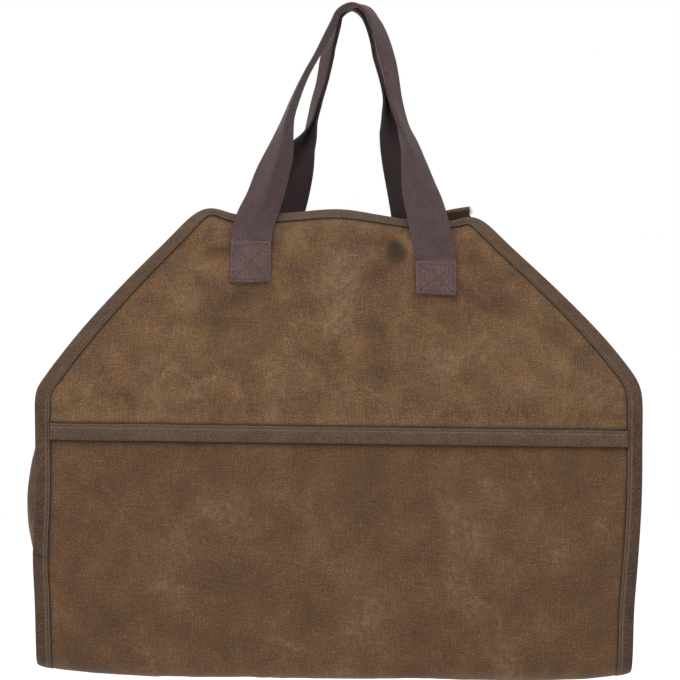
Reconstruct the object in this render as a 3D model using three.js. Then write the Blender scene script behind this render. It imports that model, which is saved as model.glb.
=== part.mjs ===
// Canvas log carrier, hanging by its two webbing handles.
// Millimetres, +Z up, the front towards -Y, +X to the right as the front is seen.
// The origin is the hang point: under the top of the handle arch, between the two handles.

import * as THREE from 'three';

// Cloth, tape and webbing
const canvasThick = 1.0;
const tapeThick = 1.0;
const tapeWidth = 12.5;
const topTapeWidth = 10;
const crossTapeWidth = 15;
const webbingThick = 2.0;
const webbingWidth = 38;
const gap = 0.3;

// Body, measured as it hangs
const seamWidth = 564;
const bottomWidth = 546;
const topWidth = 257;
const upperHeight = 205;
const lowerHeight = 222.5;
const bagDepth = 200;
const seamDepth = 0.75 * bagDepth;
const mouthDepth = 0.3 * bagDepth;
const cornerRadius = 20;
const bottomSag = 9.5;
const sagFullness = 9;
const floorSag = 3;
const topWave = 10;

// How it hangs: the body's middle lies a little left of the hang point and leans clockwise
const handleDrop = 196.5;
const hangOffset = 7.5;
const bodyLean = THREE.MathUtils.degToRad(0.75);

// Handles
const frontStrapSpacing = 175;
const rearStrapSpacing = 138;
const frontStrapShift = 2.3;
const rearStrapShift = 4.8;
const leftPatchDrop = 33;
const rightPatchDrop = 49.5;
const rearPatchDrop = 36;
const leftPatchLength = 41;
const rightPatchLength = 33;
const rearPatchLength = 38;
const patchTurn = 4;
const patchGap = 0.7;
const creaseWidth = 3.6;

// End panels
const endFoldFade = 0.75;
const leftEndRoll = 40;
const rightEndRoll = 5;
const endTurnRadius = 2;
const endFoldSharpness = 0.6;
const rollWidth = 0.42;
const rollMiddle = 0.71;
const rollSpread = 0.43;
const rollFoot = 0.34;

// How many facets each piece is drawn with
const bodyColumns = 11;
const frontUpperRows = 8;
const rearUpperRows = 7;
const wallRows = 5;
const cornerRows = 4;
const floorRows = 2;
const handleRows = 40;
const turnRows = 4;
const patchSteps = 4;

// Columns across an end panel, as shares of the way from its front seam to its rear seam
const endColumns = [0, 0.08, 0.18, 0.28, 0.39, 0.5, 0.61, 0.72, 0.82, 0.92, 1];

// The last of the places across the body: both edges and both bindings' inner edges come on top of
// the columns between them
const lastPlace = bodyColumns + 4;

// The two lengths of edge binding meet on the left front side, this share of the way down the wall
const jointDown = 0.52;

// Stations of the body's side profile: 0 front top edge, 1 front cross seam, 2 to 3 front bottom
// corner, 4 middle of the bottom, and the same again up the rear, to 8 at the rear top edge
const SEAM = 1;
const CORNER = 2;
const FLOOR = 3;
const MIDDLE = 4;
const REAR_FLOOR = 5;
const REAR_SEAM = 7;
const REAR_TOP = 8;

// Upper panels' sides: up is a share of upperHeight, the rest a share of how far they draw in
const upperOutline = [
  { up: 0.0, left: 0.0, right: 0.0 },
  { up: 0.15, left: 0.0, right: 0.0 },
  { up: 0.22, left: 0.055, right: 0.02 },
  { up: 0.3, left: 0.13, right: 0.09 },
  { up: 0.45, left: 0.285, right: 0.255 },
  { up: 0.65, left: 0.52, right: 0.515 },
  { up: 0.85, left: 0.775, right: 0.795 },
  { up: 0.94, left: 0.888, right: 0.915 },
  { up: 1.0, left: 0.975, right: 1.0 },
];

// Lower walls' sides: down is a share of the wall, the rest a share of how far they draw in
const lowerOutline = [
  { down: 0.0, left: 0.0, right: 0.0 },
  { down: 0.3, left: 0.3, right: 0.15 },
  { down: 0.6, left: 0.25, right: 0.6 },
  { down: 0.8, left: 0.55, right: 0.95 },
  { down: 1.0, left: 0.75, right: 1.05 },
];

// How far the upper panels have leant in, from the cross seam's depth to the mouth's
const upperLean = [
  { up: 0.0, lean: 0.0 },
  { up: 0.3, lean: 0.2 },
  { up: 0.6, lean: 0.42 },
  { up: 0.85, lean: 0.64 },
  { up: 0.93, lean: 0.76 },
  { up: 1.0, lean: 1.0 },
];

// The top edges rise and dip between the straps: shares of the width and of topWave
const frontTopEdge = [
  { across: 0.0, rise: 0.0 },
  { across: 0.03, rise: 0.1 },
  { across: 0.11, rise: -0.55 },
  { across: 0.2, rise: -0.7 },
  { across: 0.32, rise: -0.4 },
  { across: 0.5, rise: 0.0 },
  { across: 0.66, rise: -0.55 },
  { across: 0.78, rise: -1.0 },
  { across: 0.92, rise: -0.95 },
  { across: 0.97, rise: -0.4 },
  { across: 1.0, rise: -0.4 },
];
const rearTopEdge = [
  { across: 0.0, rise: -0.2 },
  { across: 0.25, rise: -0.8 },
  { across: 0.5, rise: -0.5 },
  { across: 0.8, rise: -0.8 },
  { across: 0.91, rise: 0.0 },
  { across: 1.0, rise: 1.0 },
];

// Dents and soft folds of the front: place as shares of the width and of the panel's height,
// upwards from the cross seam, length and width as shares of topWidth, depth of mouthDepth
const frontFolds = [
  { across: 0.665, up: 0.84, turn: 70, long: 0.065, wide: 0.045, deep: 0.13 },
  { across: 0.6, up: 0.7, turn: 47, long: 0.14, wide: 0.04, deep: 0.07 },
  { across: 0.12, up: 0.86, turn: 0, long: 0.09, wide: 0.03, deep: -0.06 },
  { across: 0.5, up: 0.55, turn: 90, long: 0.25, wide: 0.12, deep: -0.08 },
  { across: 0.25, up: 0.35, turn: 60, long: 0.25, wide: 0.14, deep: 0.06 },
  { across: 0.95, up: -0.2, turn: -35, long: 0.09, wide: 0.035, deep: 0.06 },
];

// The folds die out towards the bound sides, from three times this share of the width to this
const edgeStiff = 0.05;

// Handle legs, from the patch up to the hang point: up is a share of that rise, across of the
// patch's distance from the hang point. Open is 1 where the webbing is flat and 0 where it is
// folded shut, and turn is how many degrees it has turned about its own line.
const frontLeftLeg = [
  { up: 0.08, across: 0.968, open: 0.87, turn: 0 },
  { up: 0.18, across: 0.876, open: 0.7, turn: 0 },
  { up: 0.28, across: 0.8, open: 0.61, turn: 0 },
  { up: 0.38, across: 0.722, open: 0.45, turn: 0 },
  { up: 0.46, across: 0.677, open: 0.27, turn: 0 },
  { up: 0.54, across: 0.629, open: 0.13, turn: 0 },
  { up: 0.62, across: 0.561, open: 0.08, turn: 0 },
  { up: 0.71, across: 0.468, open: 0.04, turn: 0 },
  { up: 0.79, across: 0.364, open: 0.0, turn: -2 },
  { up: 0.86, across: 0.283, open: 0.0, turn: -5 },
  { up: 0.93, across: 0.202, open: 0.0, turn: -8 },
  { up: 0.985, across: 0.13, open: 0.0, turn: -4 },
];
const frontRightLeg = [
  { up: 0.12, across: 0.933, open: 0.93, turn: 0 },
  { up: 0.21, across: 0.87, open: 0.8, turn: 0 },
  { up: 0.285, across: 0.804, open: 0.64, turn: 0 },
  { up: 0.375, across: 0.742, open: 0.42, turn: 2 },
  { up: 0.45, across: 0.677, open: 0.27, turn: 5 },
  { up: 0.53, across: 0.57, open: 0.14, turn: 12 },
  { up: 0.625, across: 0.465, open: 0.03, turn: 30 },
  { up: 0.73, across: 0.4, open: 0.0, turn: 38 },
  { up: 0.8, across: 0.345, open: 0.0, turn: 42 },
  { up: 0.865, across: 0.295, open: 0.0, turn: 38 },
  { up: 0.933, across: 0.215, open: 0.0, turn: 33 },
  { up: 0.985, across: 0.14, open: 0.0, turn: 20 },
];
const rearLeftLeg = [
  { up: 0.115, across: 0.922, open: 0.97, turn: 0 },
  { up: 0.215, across: 0.834, open: 0.97, turn: 0 },
  { up: 0.31, across: 0.765, open: 0.85, turn: 0 },
  { up: 0.42, across: 0.675, open: 0.5, turn: 4 },
  { up: 0.48, across: 0.61, open: 0.25, turn: 12 },
  { up: 0.55, across: 0.564, open: 0.05, turn: 20 },
  { up: 0.625, across: 0.515, open: 0.02, turn: 25 },
  { up: 0.705, across: 0.449, open: 0.0, turn: 28 },
  { up: 0.825, across: 0.384, open: 0.0, turn: 36 },
  { up: 0.88, across: 0.31, open: 0.0, turn: 26 },
  { up: 0.94, across: 0.22, open: 0.0, turn: 16 },
  { up: 0.985, across: 0.13, open: 0.0, turn: 4 },
];
const rearRightLeg = [
  { up: 0.085, across: 0.953, open: 0.97, turn: 0 },
  { up: 0.185, across: 0.897, open: 0.97, turn: 0 },
  { up: 0.31, across: 0.815, open: 0.97, turn: 0 },
  { up: 0.41, across: 0.739, open: 0.8, turn: 0 },
  { up: 0.51, across: 0.643, open: 0.5, turn: 0 },
  { up: 0.575, across: 0.588, open: 0.2, turn: 4 },
  { up: 0.635, across: 0.575, open: 0.05, turn: 10 },
  { up: 0.715, across: 0.52, open: 0.0, turn: 14 },
  { up: 0.815, across: 0.41, open: 0.0, turn: 14 },
  { up: 0.88, across: 0.333, open: 0.0, turn: 8 },
  { up: 0.94, across: 0.243, open: 0.0, turn: 4 },
  { up: 0.985, across: 0.15, open: 0.0, turn: 0 },
];

// An upper panel laps out over the lower wall from this station on
const lapStart = 0.93;

// Sizes that follow from the ones above
const seamHeight = -(handleDrop + upperHeight);
const bottomHeight = seamHeight - lowerHeight;
const wallHeight = lowerHeight - cornerRadius;
const halfWebbing = webbingWidth / 2;
const tapeSeat = canvasThick / 2 + gap;
const layerStep = canvasThick + gap;
const lapOffset = tapeSeat + tapeThick + gap + canvasThick / 2;
const lapLength = crossTapeWidth - tapeThick - gap;
const jointClear = 3;
const cornerEase = 0.25;

// Reads one column of a table at a given share, with a smooth curve through its rows
function readTable(rows, key, column, at) {
  const last = rows.length - 1;
  if (at <= rows[0][key]) {
    return rows[0][column];
  }
  if (at >= rows[last][key]) {
    return rows[last][column];
  }
  let i = 0;
  while (rows[i + 1][key] < at) {
    i += 1;
  }
  const slope = (k) => {
    const a = rows[Math.max(k - 1, 0)];
    const b = rows[Math.min(k + 1, last)];
    return (b[column] - a[column]) / (b[key] - a[key]);
  };
  const span = rows[i + 1][key] - rows[i][key];
  const t = (at - rows[i][key]) / span;
  const rest = 1 - t;
  return (1 + 2 * t) * rest * rest * rows[i][column]
    + t * rest * rest * span * slope(i)
    + t * t * (3 - 2 * t) * rows[i + 1][column]
    - t * t * rest * span * slope(i + 1);
}

// The body's side profile: distance out from the middle plane and height, at station v
function profile(v) {
  const w = v <= MIDDLE ? v : REAR_TOP - v;
  if (w <= SEAM) {
    const up = SEAM - w;
    const lean = readTable(upperLean, 'up', 'lean', up);
    return {
      out: THREE.MathUtils.lerp(seamDepth / 2, mouthDepth / 2, lean),
      height: seamHeight + upperHeight * up,
    };
  }
  if (w <= CORNER) {
    const down = w - SEAM;
    const spread = Math.sin(down * Math.PI / 2);
    return {
      out: THREE.MathUtils.lerp(seamDepth / 2, bagDepth / 2, spread),
      height: seamHeight - wallHeight * down,
    };
  }
  if (w <= FLOOR) {
    const angle = (w - CORNER) * Math.PI / 2;
    return {
      out: bagDepth / 2 - cornerRadius * (1 - Math.cos(angle)),
      height: bottomHeight + cornerRadius * (1 - Math.sin(angle)),
    };
  }
  const inward = w - FLOOR;
  return {
    out: (bagDepth / 2 - cornerRadius) * (1 - inward),
    height: bottomHeight - floorSag * Math.sin(inward * Math.PI / 2),
  };
}

// Half the body's width, on the left or the right of its middle, at station v
function halfWidth(v, side) {
  const w = v <= MIDDLE ? v : REAR_TOP - v;
  if (w <= SEAM) {
    const drawn = readTable(upperOutline, 'up', side, SEAM - w);
    return THREE.MathUtils.lerp(seamWidth, topWidth, drawn) / 2;
  }
  const drawn = readTable(lowerOutline, 'down', side, Math.min(w - SEAM, 1));
  return THREE.MathUtils.lerp(seamWidth, bottomWidth, drawn) / 2;
}

function widthAt(v) {
  return halfWidth(v, 'left') + halfWidth(v, 'right');
}

// Depth of the soft folds at a share across the front and a share up its upper panel
function foldDepth(across, up, width) {
  let depth = 0;
  for (const fold of frontFolds) {
    const dx = (across - fold.across) * width;
    const dz = (up - fold.up) * upperHeight;
    const angle = THREE.MathUtils.degToRad(fold.turn);
    const along = dx * Math.cos(angle) + dz * Math.sin(angle);
    const beside = dz * Math.cos(angle) - dx * Math.sin(angle);
    const reach = (along / (fold.long * topWidth)) ** 2 + (beside / (fold.wide * topWidth)) ** 2;
    depth += fold.deep * mouthDepth * Math.exp(-reach);
  }
  return depth;
}

// The one cloth surface that every body piece lies on: s runs from the left side to the right
function bodyPoint(s, v) {
  const front = v <= MIDDLE;
  const w = front ? v : REAR_TOP - v;
  const { out, height } = profile(v);
  const x = THREE.MathUtils.lerp(-halfWidth(v, 'left'), halfWidth(v, 'right'), s) - hangOffset;
  const beside = Math.abs(2 * s - 1);
  const sagged = THREE.MathUtils.smoothstep(w, SEAM, CORNER);
  let z = height - bottomSag * sagged * (1 - beside ** sagFullness);
  let y = front ? -out : out;
  if (w < SEAM) {
    const edge = readTable(front ? frontTopEdge : rearTopEdge, 'across', 'rise', s);
    z += topWave * edge * (1 - w) ** 2;
  }
  if (front && w < CORNER) {
    const stiff = THREE.MathUtils.smoothstep(Math.min(s, 1 - s), edgeStiff, 3 * edgeStiff);
    y += foldDepth(s, SEAM - w, widthAt(v)) * stiff;
  }
  return new THREE.Vector3(x, y, z).applyAxisAngle(new THREE.Vector3(0, 1, 0), bodyLean);
}

function bodyNormal(s, v) {
  const step = 0.002;
  const alongS = bodyPoint(s + step, v).sub(bodyPoint(s - step, v));
  const low = Math.max(v - step, 0);
  const high = Math.min(v + step, REAR_TOP);
  const alongV = bodyPoint(s, high).sub(bodyPoint(s, low));
  return alongV.cross(alongS).normalize();
}

// A point lifted off the cloth surface, outwards where lift is positive
function lifted(s, v, lift) {
  return bodyPoint(s, v).addScaledVector(bodyNormal(s, v), lift);
}

// The share across the body of a place a given number of millimetres from its middle
function shareAcross(x, v) {
  return (x + halfWidth(v, 'left')) / widthAt(v);
}

// The side binding's width as a share of the body's width, at station v
function bandShare(v, s) {
  const step = 0.01;
  const low = Math.max(v - step, 0);
  const high = Math.min(v + step, REAR_TOP);
  const edge = bodyPoint(s, high).sub(bodyPoint(s, low)).normalize();
  const slant = Math.sqrt(1 - edge.x * edge.x);
  return tapeWidth / (widthAt(v) * slant);
}

// Columns across the body at station v: the outer edges, the bindings' inner edges, then the rest
function bodyShares(v) {
  const left = bandShare(v, 0);
  const right = 1 - bandShare(v, 1);
  const clear = jointClear / widthAt(v);
  const shares = [0, left];
  for (let i = 0; i <= bodyColumns; i += 1) {
    shares.push(THREE.MathUtils.lerp(left + clear, right - clear, i / bodyColumns));
  }
  shares.push(right, 1);
  return shares;
}

// The station that lies a distance along the cloth below the front top edge
function stationBelowTop(distance) {
  const steps = 200;
  let length = 0;
  let last = bodyPoint(0.5, 0);
  for (let i = 1; i <= steps; i += 1) {
    const next = bodyPoint(0.5, i / steps);
    const stepLength = next.distanceTo(last);
    if (length + stepLength >= distance) {
      return (i - 1 + (distance - length) / stepLength) / steps;
    }
    length += stepLength;
    last = next;
  }
  return SEAM;
}

const lipStation = stationBelowTop(topTapeWidth);
const easedStation = lipStation * (1 + cornerEase);
const tapeJoint = SEAM + jointDown;
const stationGap = gap / wallHeight;
const lapEnd = SEAM + lapLength / wallHeight;
const endTopStation = SEAM + 2 * stationGap;

// Evenly spaced stations from first to last, both included
function stations(first, last, count) {
  return Array.from({ length: count + 1 }, (_, i) => THREE.MathUtils.lerp(first, last, i / count));
}

// Stations down an upper panel, from its top binding's inner edge to where it starts to lap out
function upperStations(count) {
  return [lipStation, ...stations(easedStation, lapStart, count)];
}

// A closed solid between two matching sheets of points joined by the same four-sided cells
function solidBetween(top, bottom, cells) {
  const indices = [];
  const count = top.length;
  const edges = new Set();
  for (const [a, b, c, d] of cells) {
    indices.push(a, b, c, a, c, d);
    indices.push(count + a, count + c, count + b, count + a, count + d, count + c);
    for (const [from, to] of [[a, b], [b, c], [c, d], [d, a]]) {
      edges.add(`${from} ${to}`);
    }
  }
  for (const edge of edges) {
    const [from, to] = edge.split(' ').map(Number);
    if (!edges.has(`${to} ${from}`)) {
      indices.push(to, from, count + from, to, count + from, count + to);
    }
  }
  return closedGeometry([...top, ...bottom], indices);
}

// Builds the geometry from the points in use, with its faces turned outwards
function closedGeometry(points, indices) {
  let volume = 0;
  for (let i = 0; i < indices.length; i += 3) {
    const [a, b, c] = [points[indices[i]], points[indices[i + 1]], points[indices[i + 2]]];
    volume += a.dot(b.clone().cross(c));
  }
  const ordered = volume < 0 ? [...indices].reverse() : indices;
  const used = [...new Set(ordered)];
  const place = new Map(used.map((index, i) => [index, i]));
  const geometry = new THREE.BufferGeometry().setFromPoints(used.map((index) => points[index]));
  geometry.setIndex(ordered.map((index) => place.get(index)));
  geometry.computeVertexNormals();
  return geometry;
}

// The cells of a grid of rows and columns, leaving out those that keep() refuses
function gridCells(rows, columns, keep = () => true) {
  const cells = [];
  for (let r = 0; r < rows - 1; r += 1) {
    for (let c = 0; c < columns - 1; c += 1) {
      if (keep(r, c)) {
        const a = r * columns + c;
        cells.push([a, a + 1, a + columns + 1, a + columns]);
      }
    }
  }
  return cells;
}

// Thickens a sheet of points evenly to both sides of itself
function thicken(points, cells, thickness) {
  const normals = points.map(() => new THREE.Vector3());
  for (const [a, b, c, d] of cells) {
    const across = points[c].clone().sub(points[a]);
    const along = points[d].clone().sub(points[b]);
    const face = across.cross(along);
    for (const corner of [a, b, c, d]) {
      normals[corner].add(face);
    }
  }
  const side = (sign) => points.map((point, i) => (
    point.clone().addScaledVector(normals[i].clone().normalize(), sign * thickness / 2)));
  return solidBetween(side(1), side(-1), cells);
}

// A stretch of the body's cloth. Each row has its station, and its lift between the side bindings
function clothPanel(rows, keep) {
  const top = [];
  const bottom = [];
  for (const { v, lift } of rows) {
    bodyShares(v).forEach((s, c) => {
      const inner = c > 1 && c < lastPlace - 1;
      const middle = inner ? lift : 0;
      top.push(lifted(s, v, middle + canvasThick / 2));
      bottom.push(lifted(s, v, middle - canvasThick / 2));
    });
  }
  return solidBetween(top, bottom, gridCells(rows.length, lastPlace + 1, keep));
}

// An upper panel, whose lower edge laps over the lower wall. Mirror puts it at the rear.
function upperPanel(rowCount, mirror) {
  const level = upperStations(rowCount).map((v) => ({ v, lift: 0 }));
  const rows = [
    { v: 0, lift: 0 },
    ...level,
    { v: SEAM - stationGap, lift: lapOffset },
    { v: lapEnd, lift: lapOffset },
  ];
  const lastRow = rows.length - 2;
  const keep = (r, c) => r < lastRow || (c > 1 && c < lastPlace - 2);
  return clothPanel(rows.map(({ v, lift }) => ({ v: mirror ? REAR_TOP - v : v, lift })), keep);
}

// The stations of the lower body from just under one cross seam to just under the other
function slingStations() {
  const front = [
    ...stations(lapEnd, CORNER, wallRows),
    ...stations(CORNER, FLOOR, cornerRows).slice(1),
    ...stations(FLOOR, MIDDLE, floorRows).slice(1, -1),
  ];
  const half = [SEAM + stationGap, ...front];
  const rear = half.map((v) => REAR_TOP - v).reverse();
  return [...half, MIDDLE, ...rear];
}

function bodySling() {
  return clothPanel(slingStations().map((v) => ({ v, lift: 0 })));
}

// A tape folded over an edge. Each station has the edge's place, the place of the tape's inner
// edge, the lift of the cloth inside it, and how far behind that cloth the tape's back lies.
function foldedTape(path) {
  const points = [];
  for (const { edge, inner, lift, back } of path) {
    const innerAt = (height) => lifted(...inner, lift + height);
    const edgeAt = (height, beyond) => {
      const place = lifted(...edge, lift);
      const outward = place.clone().sub(lifted(...inner, lift)).normalize();
      return lifted(...edge, lift + height).addScaledVector(outward, beyond);
    };
    points.push(
      innerAt(tapeSeat + tapeThick),
      edgeAt(tapeSeat + tapeThick, 0),
      edgeAt(tapeSeat, gap + tapeThick),
      edgeAt(-back, gap + tapeThick),
      edgeAt(-back - tapeThick, 0),
      innerAt(-back - tapeThick),
      innerAt(-back),
      edgeAt(-back, gap),
      edgeAt(tapeSeat, gap),
      innerAt(tapeSeat),
    );
  }
  const sides = points.length / path.length;
  const indices = [];
  for (let r = 0; r < path.length - 1; r += 1) {
    for (let k = 0; k < sides; k += 1) {
      const a = r * sides + k;
      const b = r * sides + (k + 1) % sides;
      indices.push(a, b, b + sides, a, b + sides, a + sides);
    }
  }
  // The end faces: the tape's front, its fold and its back, as pairs of section points
  const ladder = [[0, 9], [1, 8], [2, 8], [3, 7], [4, 7], [5, 6]];
  for (const [first, turned] of [[0, true], [points.length - sides, false]]) {
    for (let k = 0; k < ladder.length - 1; k += 1) {
      const [a, d] = ladder[k];
      const [b, c] = ladder[k + 1];
      const faces = [[a, b, c], [a, c, d]].filter((face) => new Set(face).size === 3);
      for (const face of faces) {
        const corners = turned ? [...face].reverse() : face;
        indices.push(...corners.map((corner) => first + corner));
      }
    }
  }
  return closedGeometry(points, indices);
}

// One station of a side binding: s is 0 for the left side and 1 for the right
function sideStation(s, v) {
  const w = v <= MIDDLE ? v : REAR_TOP - v;
  const share = bandShare(v, s);
  const back = w > SEAM ? tapeSeat + layerStep : tapeSeat;
  return { edge: [s, v], inner: [s === 0 ? share : 1 - share, v], lift: 0, back };
}

// One station of a top binding, at column c of the body's columns
function topStation(c, mirror) {
  const edge = mirror ? REAR_TOP : 0;
  const inner = mirror ? REAR_TOP - lipStation : lipStation;
  return {
    edge: [bodyShares(edge)[c], edge],
    inner: [bodyShares(inner)[c], inner],
    lift: 0,
    back: tapeSeat,
  };
}

// Stations of a side of the body from one station to another, those of every piece that it covers
function sideStations(from, to) {
  const front = upperStations(frontUpperRows);
  const rear = upperStations(rearUpperRows).map((v) => REAR_TOP - v);
  const lapTops = [SEAM - 2 * stationGap, REAR_SEAM + 2 * stationGap];
  const all = [...front, ...slingStations(), ...rear, ...lapTops];
  const low = Math.min(from, to);
  const high = Math.max(from, to);
  const within = all.filter((v) => v > low + stationGap && v < high - stationGap);
  const path = [low, ...within.sort((a, b) => a - b), high];
  return from < to ? path : path.reverse();
}

function columnsOfTop(from, to) {
  return Array.from({ length: to - from + 1 }, (_, i) => from + i);
}

// The stations that take a tape round an upper panel's top corner, from its side to its top edge
function cornerStations(s, mirror) {
  const at = (v) => (mirror ? REAR_TOP - v : v);
  const first = s === 0 ? 1 : lastPlace - 1;
  const second = s === 0 ? 2 : lastPlace - 2;
  const inner = (c, v) => [bodyShares(at(v))[c], at(v)];
  const eased = THREE.MathUtils.lerp(inner(first, lipStation)[0], inner(second, lipStation)[0], 0.5);
  const plain = { lift: 0, back: tapeSeat };
  return [
    { edge: [s, at(lipStation)], inner: inner(first, easedStation), ...plain },
    { edge: [s, at(0)], inner: inner(first, lipStation), ...plain },
    { edge: [bodyShares(at(0))[first], at(0)], inner: [eased, at(lipStation)], ...plain },
  ];
}

// The first length: up the left front, over the front top edge, down the right and up the rear
function edgeBindingFront() {
  const left = sideStations(tapeJoint, easedStation).map((v) => sideStation(0, v));
  const right = sideStations(easedStation, REAR_TOP - easedStation).map((v) => sideStation(1, v));
  return foldedTape([
    ...left,
    ...cornerStations(0, false),
    ...columnsOfTop(2, lastPlace - 2).map((c) => topStation(c, false)),
    ...cornerStations(1, false).reverse(),
    ...right,
  ]);
}

// The second length: from its cut end at the rear right corner, over the rear top edge, down the
// rear left side, under the left end and up to the joint
function edgeBindingRear() {
  const top = columnsOfTop(2, lastPlace).map((c) => topStation(c, true)).reverse();
  const left = sideStations(REAR_TOP - easedStation, tapeJoint + 2 * stationGap);
  return foldedTape([
    ...top,
    ...cornerStations(0, true).reverse(),
    ...left.map((v) => sideStation(0, v)),
  ]);
}

// The bound lower edge of an upper panel, between the two side bindings
function crossBinding(mirror) {
  const top = mirror ? REAR_SEAM + stationGap : SEAM - stationGap;
  const bottom = mirror ? REAR_TOP - lapEnd : lapEnd;
  const path = [];
  for (let c = 2; c <= lastPlace - 2; c += 1) {
    path.push({
      edge: [bodyShares(bottom)[c], bottom],
      inner: [bodyShares(top)[c], top],
      lift: lapOffset,
      back: tapeSeat,
    });
  }
  return foldedTape(path);
}

// How far an end panel stands out from the straight line between its two seams
function endBulge(share, v, chord, roll) {
  const low = CORNER - v;
  const fade = THREE.MathUtils.smoothstep(low, 0, endFoldFade);
  const half = bagDepth / 2;
  const depth = Math.sqrt(Math.max(half * half - chord * chord / 4, 0));
  const fold = 1 - Math.abs(2 * share - 1);
  const soft = fold * fold * (1 + endFoldSharpness * (1 - fold));
  const rolled = Math.sin(Math.PI * Math.min(share / rollWidth, 1)) ** 2;
  const height = THREE.MathUtils.smoothstep(low, 0, rollFoot)
    * Math.exp(-(((low - rollMiddle) / rollSpread) ** 2));
  return roll * rolled * height - depth * fade * soft;
}

// An end panel: a flange inside the side binding all along its seam, a turn, and the panel itself
function endPanel(s, roll) {
  const outward = s === 0 ? -1 : 1;
  const flangeLift = -layerStep;
  const down = [
    endTopStation,
    ...slingStations().filter((v) => v > endTopStation + stationGap && v <= FLOOR),
  ];
  const bottom = endColumns.slice(1, -1).map((u) => THREE.MathUtils.lerp(FLOOR, REAR_FLOOR, u));
  const seam = [...down, ...bottom, ...down.map((v) => REAR_TOP - v).reverse()];
  const clear = gap + canvasThick / 2;
  const turnMiddle = endTurnRadius * Math.SQRT1_2;
  const places = (v) => {
    const band = bandShare(v, s);
    const width = widthAt(v);
    const at = (inset) => (s === 0 ? band + inset / width : 1 - band - inset / width);
    return [
      { s, lift: flangeLift },
      { s: at(0), lift: flangeLift },
      { s: at(clear), lift: flangeLift },
      { s: at(clear + turnMiddle), lift: flangeLift - endTurnRadius + turnMiddle },
      { s: at(clear + endTurnRadius), lift: flangeLift - endTurnRadius },
    ];
  };
  const flangeColumns = 5;
  const points = seam.flatMap((v) => places(v).map((place) => lifted(place.s, v, place.lift)));
  const cells = gridCells(seam.length, flangeColumns);
  const edgeIndex = (k) => k * flangeColumns + flangeColumns - 1;

  // The panel's own rows run from the front seam to the rear seam, and its last row is the bottom
  const rows = down.map((v, r) => {
    const frontIndex = edgeIndex(r);
    const rearIndex = edgeIndex(seam.length - 1 - r);
    if (r === down.length - 1) {
      return endColumns.map((_, c) => edgeIndex(r + c));
    }
    const front = points[frontIndex];
    const rear = points[rearIndex];
    const chord = front.distanceTo(rear);
    return endColumns.map((u, c) => {
      if (c === 0) {
        return frontIndex;
      }
      if (c === endColumns.length - 1) {
        return rearIndex;
      }
      const point = front.clone().lerp(rear, u);
      point.x += outward * endBulge(u, v, chord, roll);
      points.push(point);
      return points.length - 1;
    });
  });
  for (let r = 0; r < rows.length - 1; r += 1) {
    for (let c = 0; c < endColumns.length - 1; c += 1) {
      cells.push([rows[r][c], rows[r][c + 1], rows[r + 1][c + 1], rows[r + 1][c]]);
    }
  }
  return thicken(points, cells, canvasThick);
}

// Columns across the webbing: its edges and the soft crease that it folds about
const webbingColumns = [
  -halfWebbing,
  -creaseWidth / 2,
  -creaseWidth / 4,
  0,
  creaseWidth / 4,
  creaseWidth / 2,
  halfWebbing,
];

// The webbing's section: each half bends back by the same angle about the crease
function webbingSection(open) {
  const bend = (1 - open) * Math.PI / 2;
  const reach = creaseWidth / 2;
  return webbingColumns.map((w) => {
    const inCrease = Math.min(Math.abs(w), reach);
    const beyond = Math.abs(w) - inCrease;
    const angle = bend * inCrease / reach;
    const radius = bend > 0.001 ? reach / bend : 0;
    const across = radius > 0 ? radius * Math.sin(angle) : inCrease;
    const back = radius > 0 ? radius * (1 - Math.cos(angle)) : 0;
    return {
      across: Math.sign(w) * (across + beyond * Math.cos(angle)),
      back: back + beyond * Math.sin(angle),
    };
  });
}

// The sewn end of a handle leg, from the turned-under end round its fold and up to the panel's
// stitch line. Rows run upwards from the hidden end.
function patchRows(x, { drop, length }, mirror, towardsRight) {
  const upper = stationBelowTop(drop);
  const lower = stationBelowTop(drop + length);
  const perStation = (lower - upper) / length;
  const inner = canvasThick / 2 + patchGap + webbingThick / 2;
  const outer = inner + webbingThick + gap;
  const middle = (inner + outer) / 2;
  const radius = (outer - inner) / 2;
  const turn = stations(-90, 90, turnRows).map((degrees) => {
    const angle = THREE.MathUtils.degToRad(degrees);
    return {
      v: lower + (Math.cos(angle) - 1) * radius * perStation,
      lift: middle + radius * Math.sin(angle),
    };
  });
  const turnStation = lower - patchTurn * perStation;
  const hidden = stations(upper + patchTurn * perStation, turnStation, patchSteps);
  const sewn = stations(turnStation, upper, patchSteps);
  const rows = [
    ...hidden.map((v) => ({ v, lift: inner })),
    ...turn,
    ...sewn.map((v) => ({ v, lift: outer })),
  ];
  return rows.map(({ v, lift }) => webbingColumns.map((w) => {
    const place = shareAcross(x + towardsRight * w, v);
    return lifted(place, mirror ? REAR_TOP - v : v, lift);
  }));
}

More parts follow.
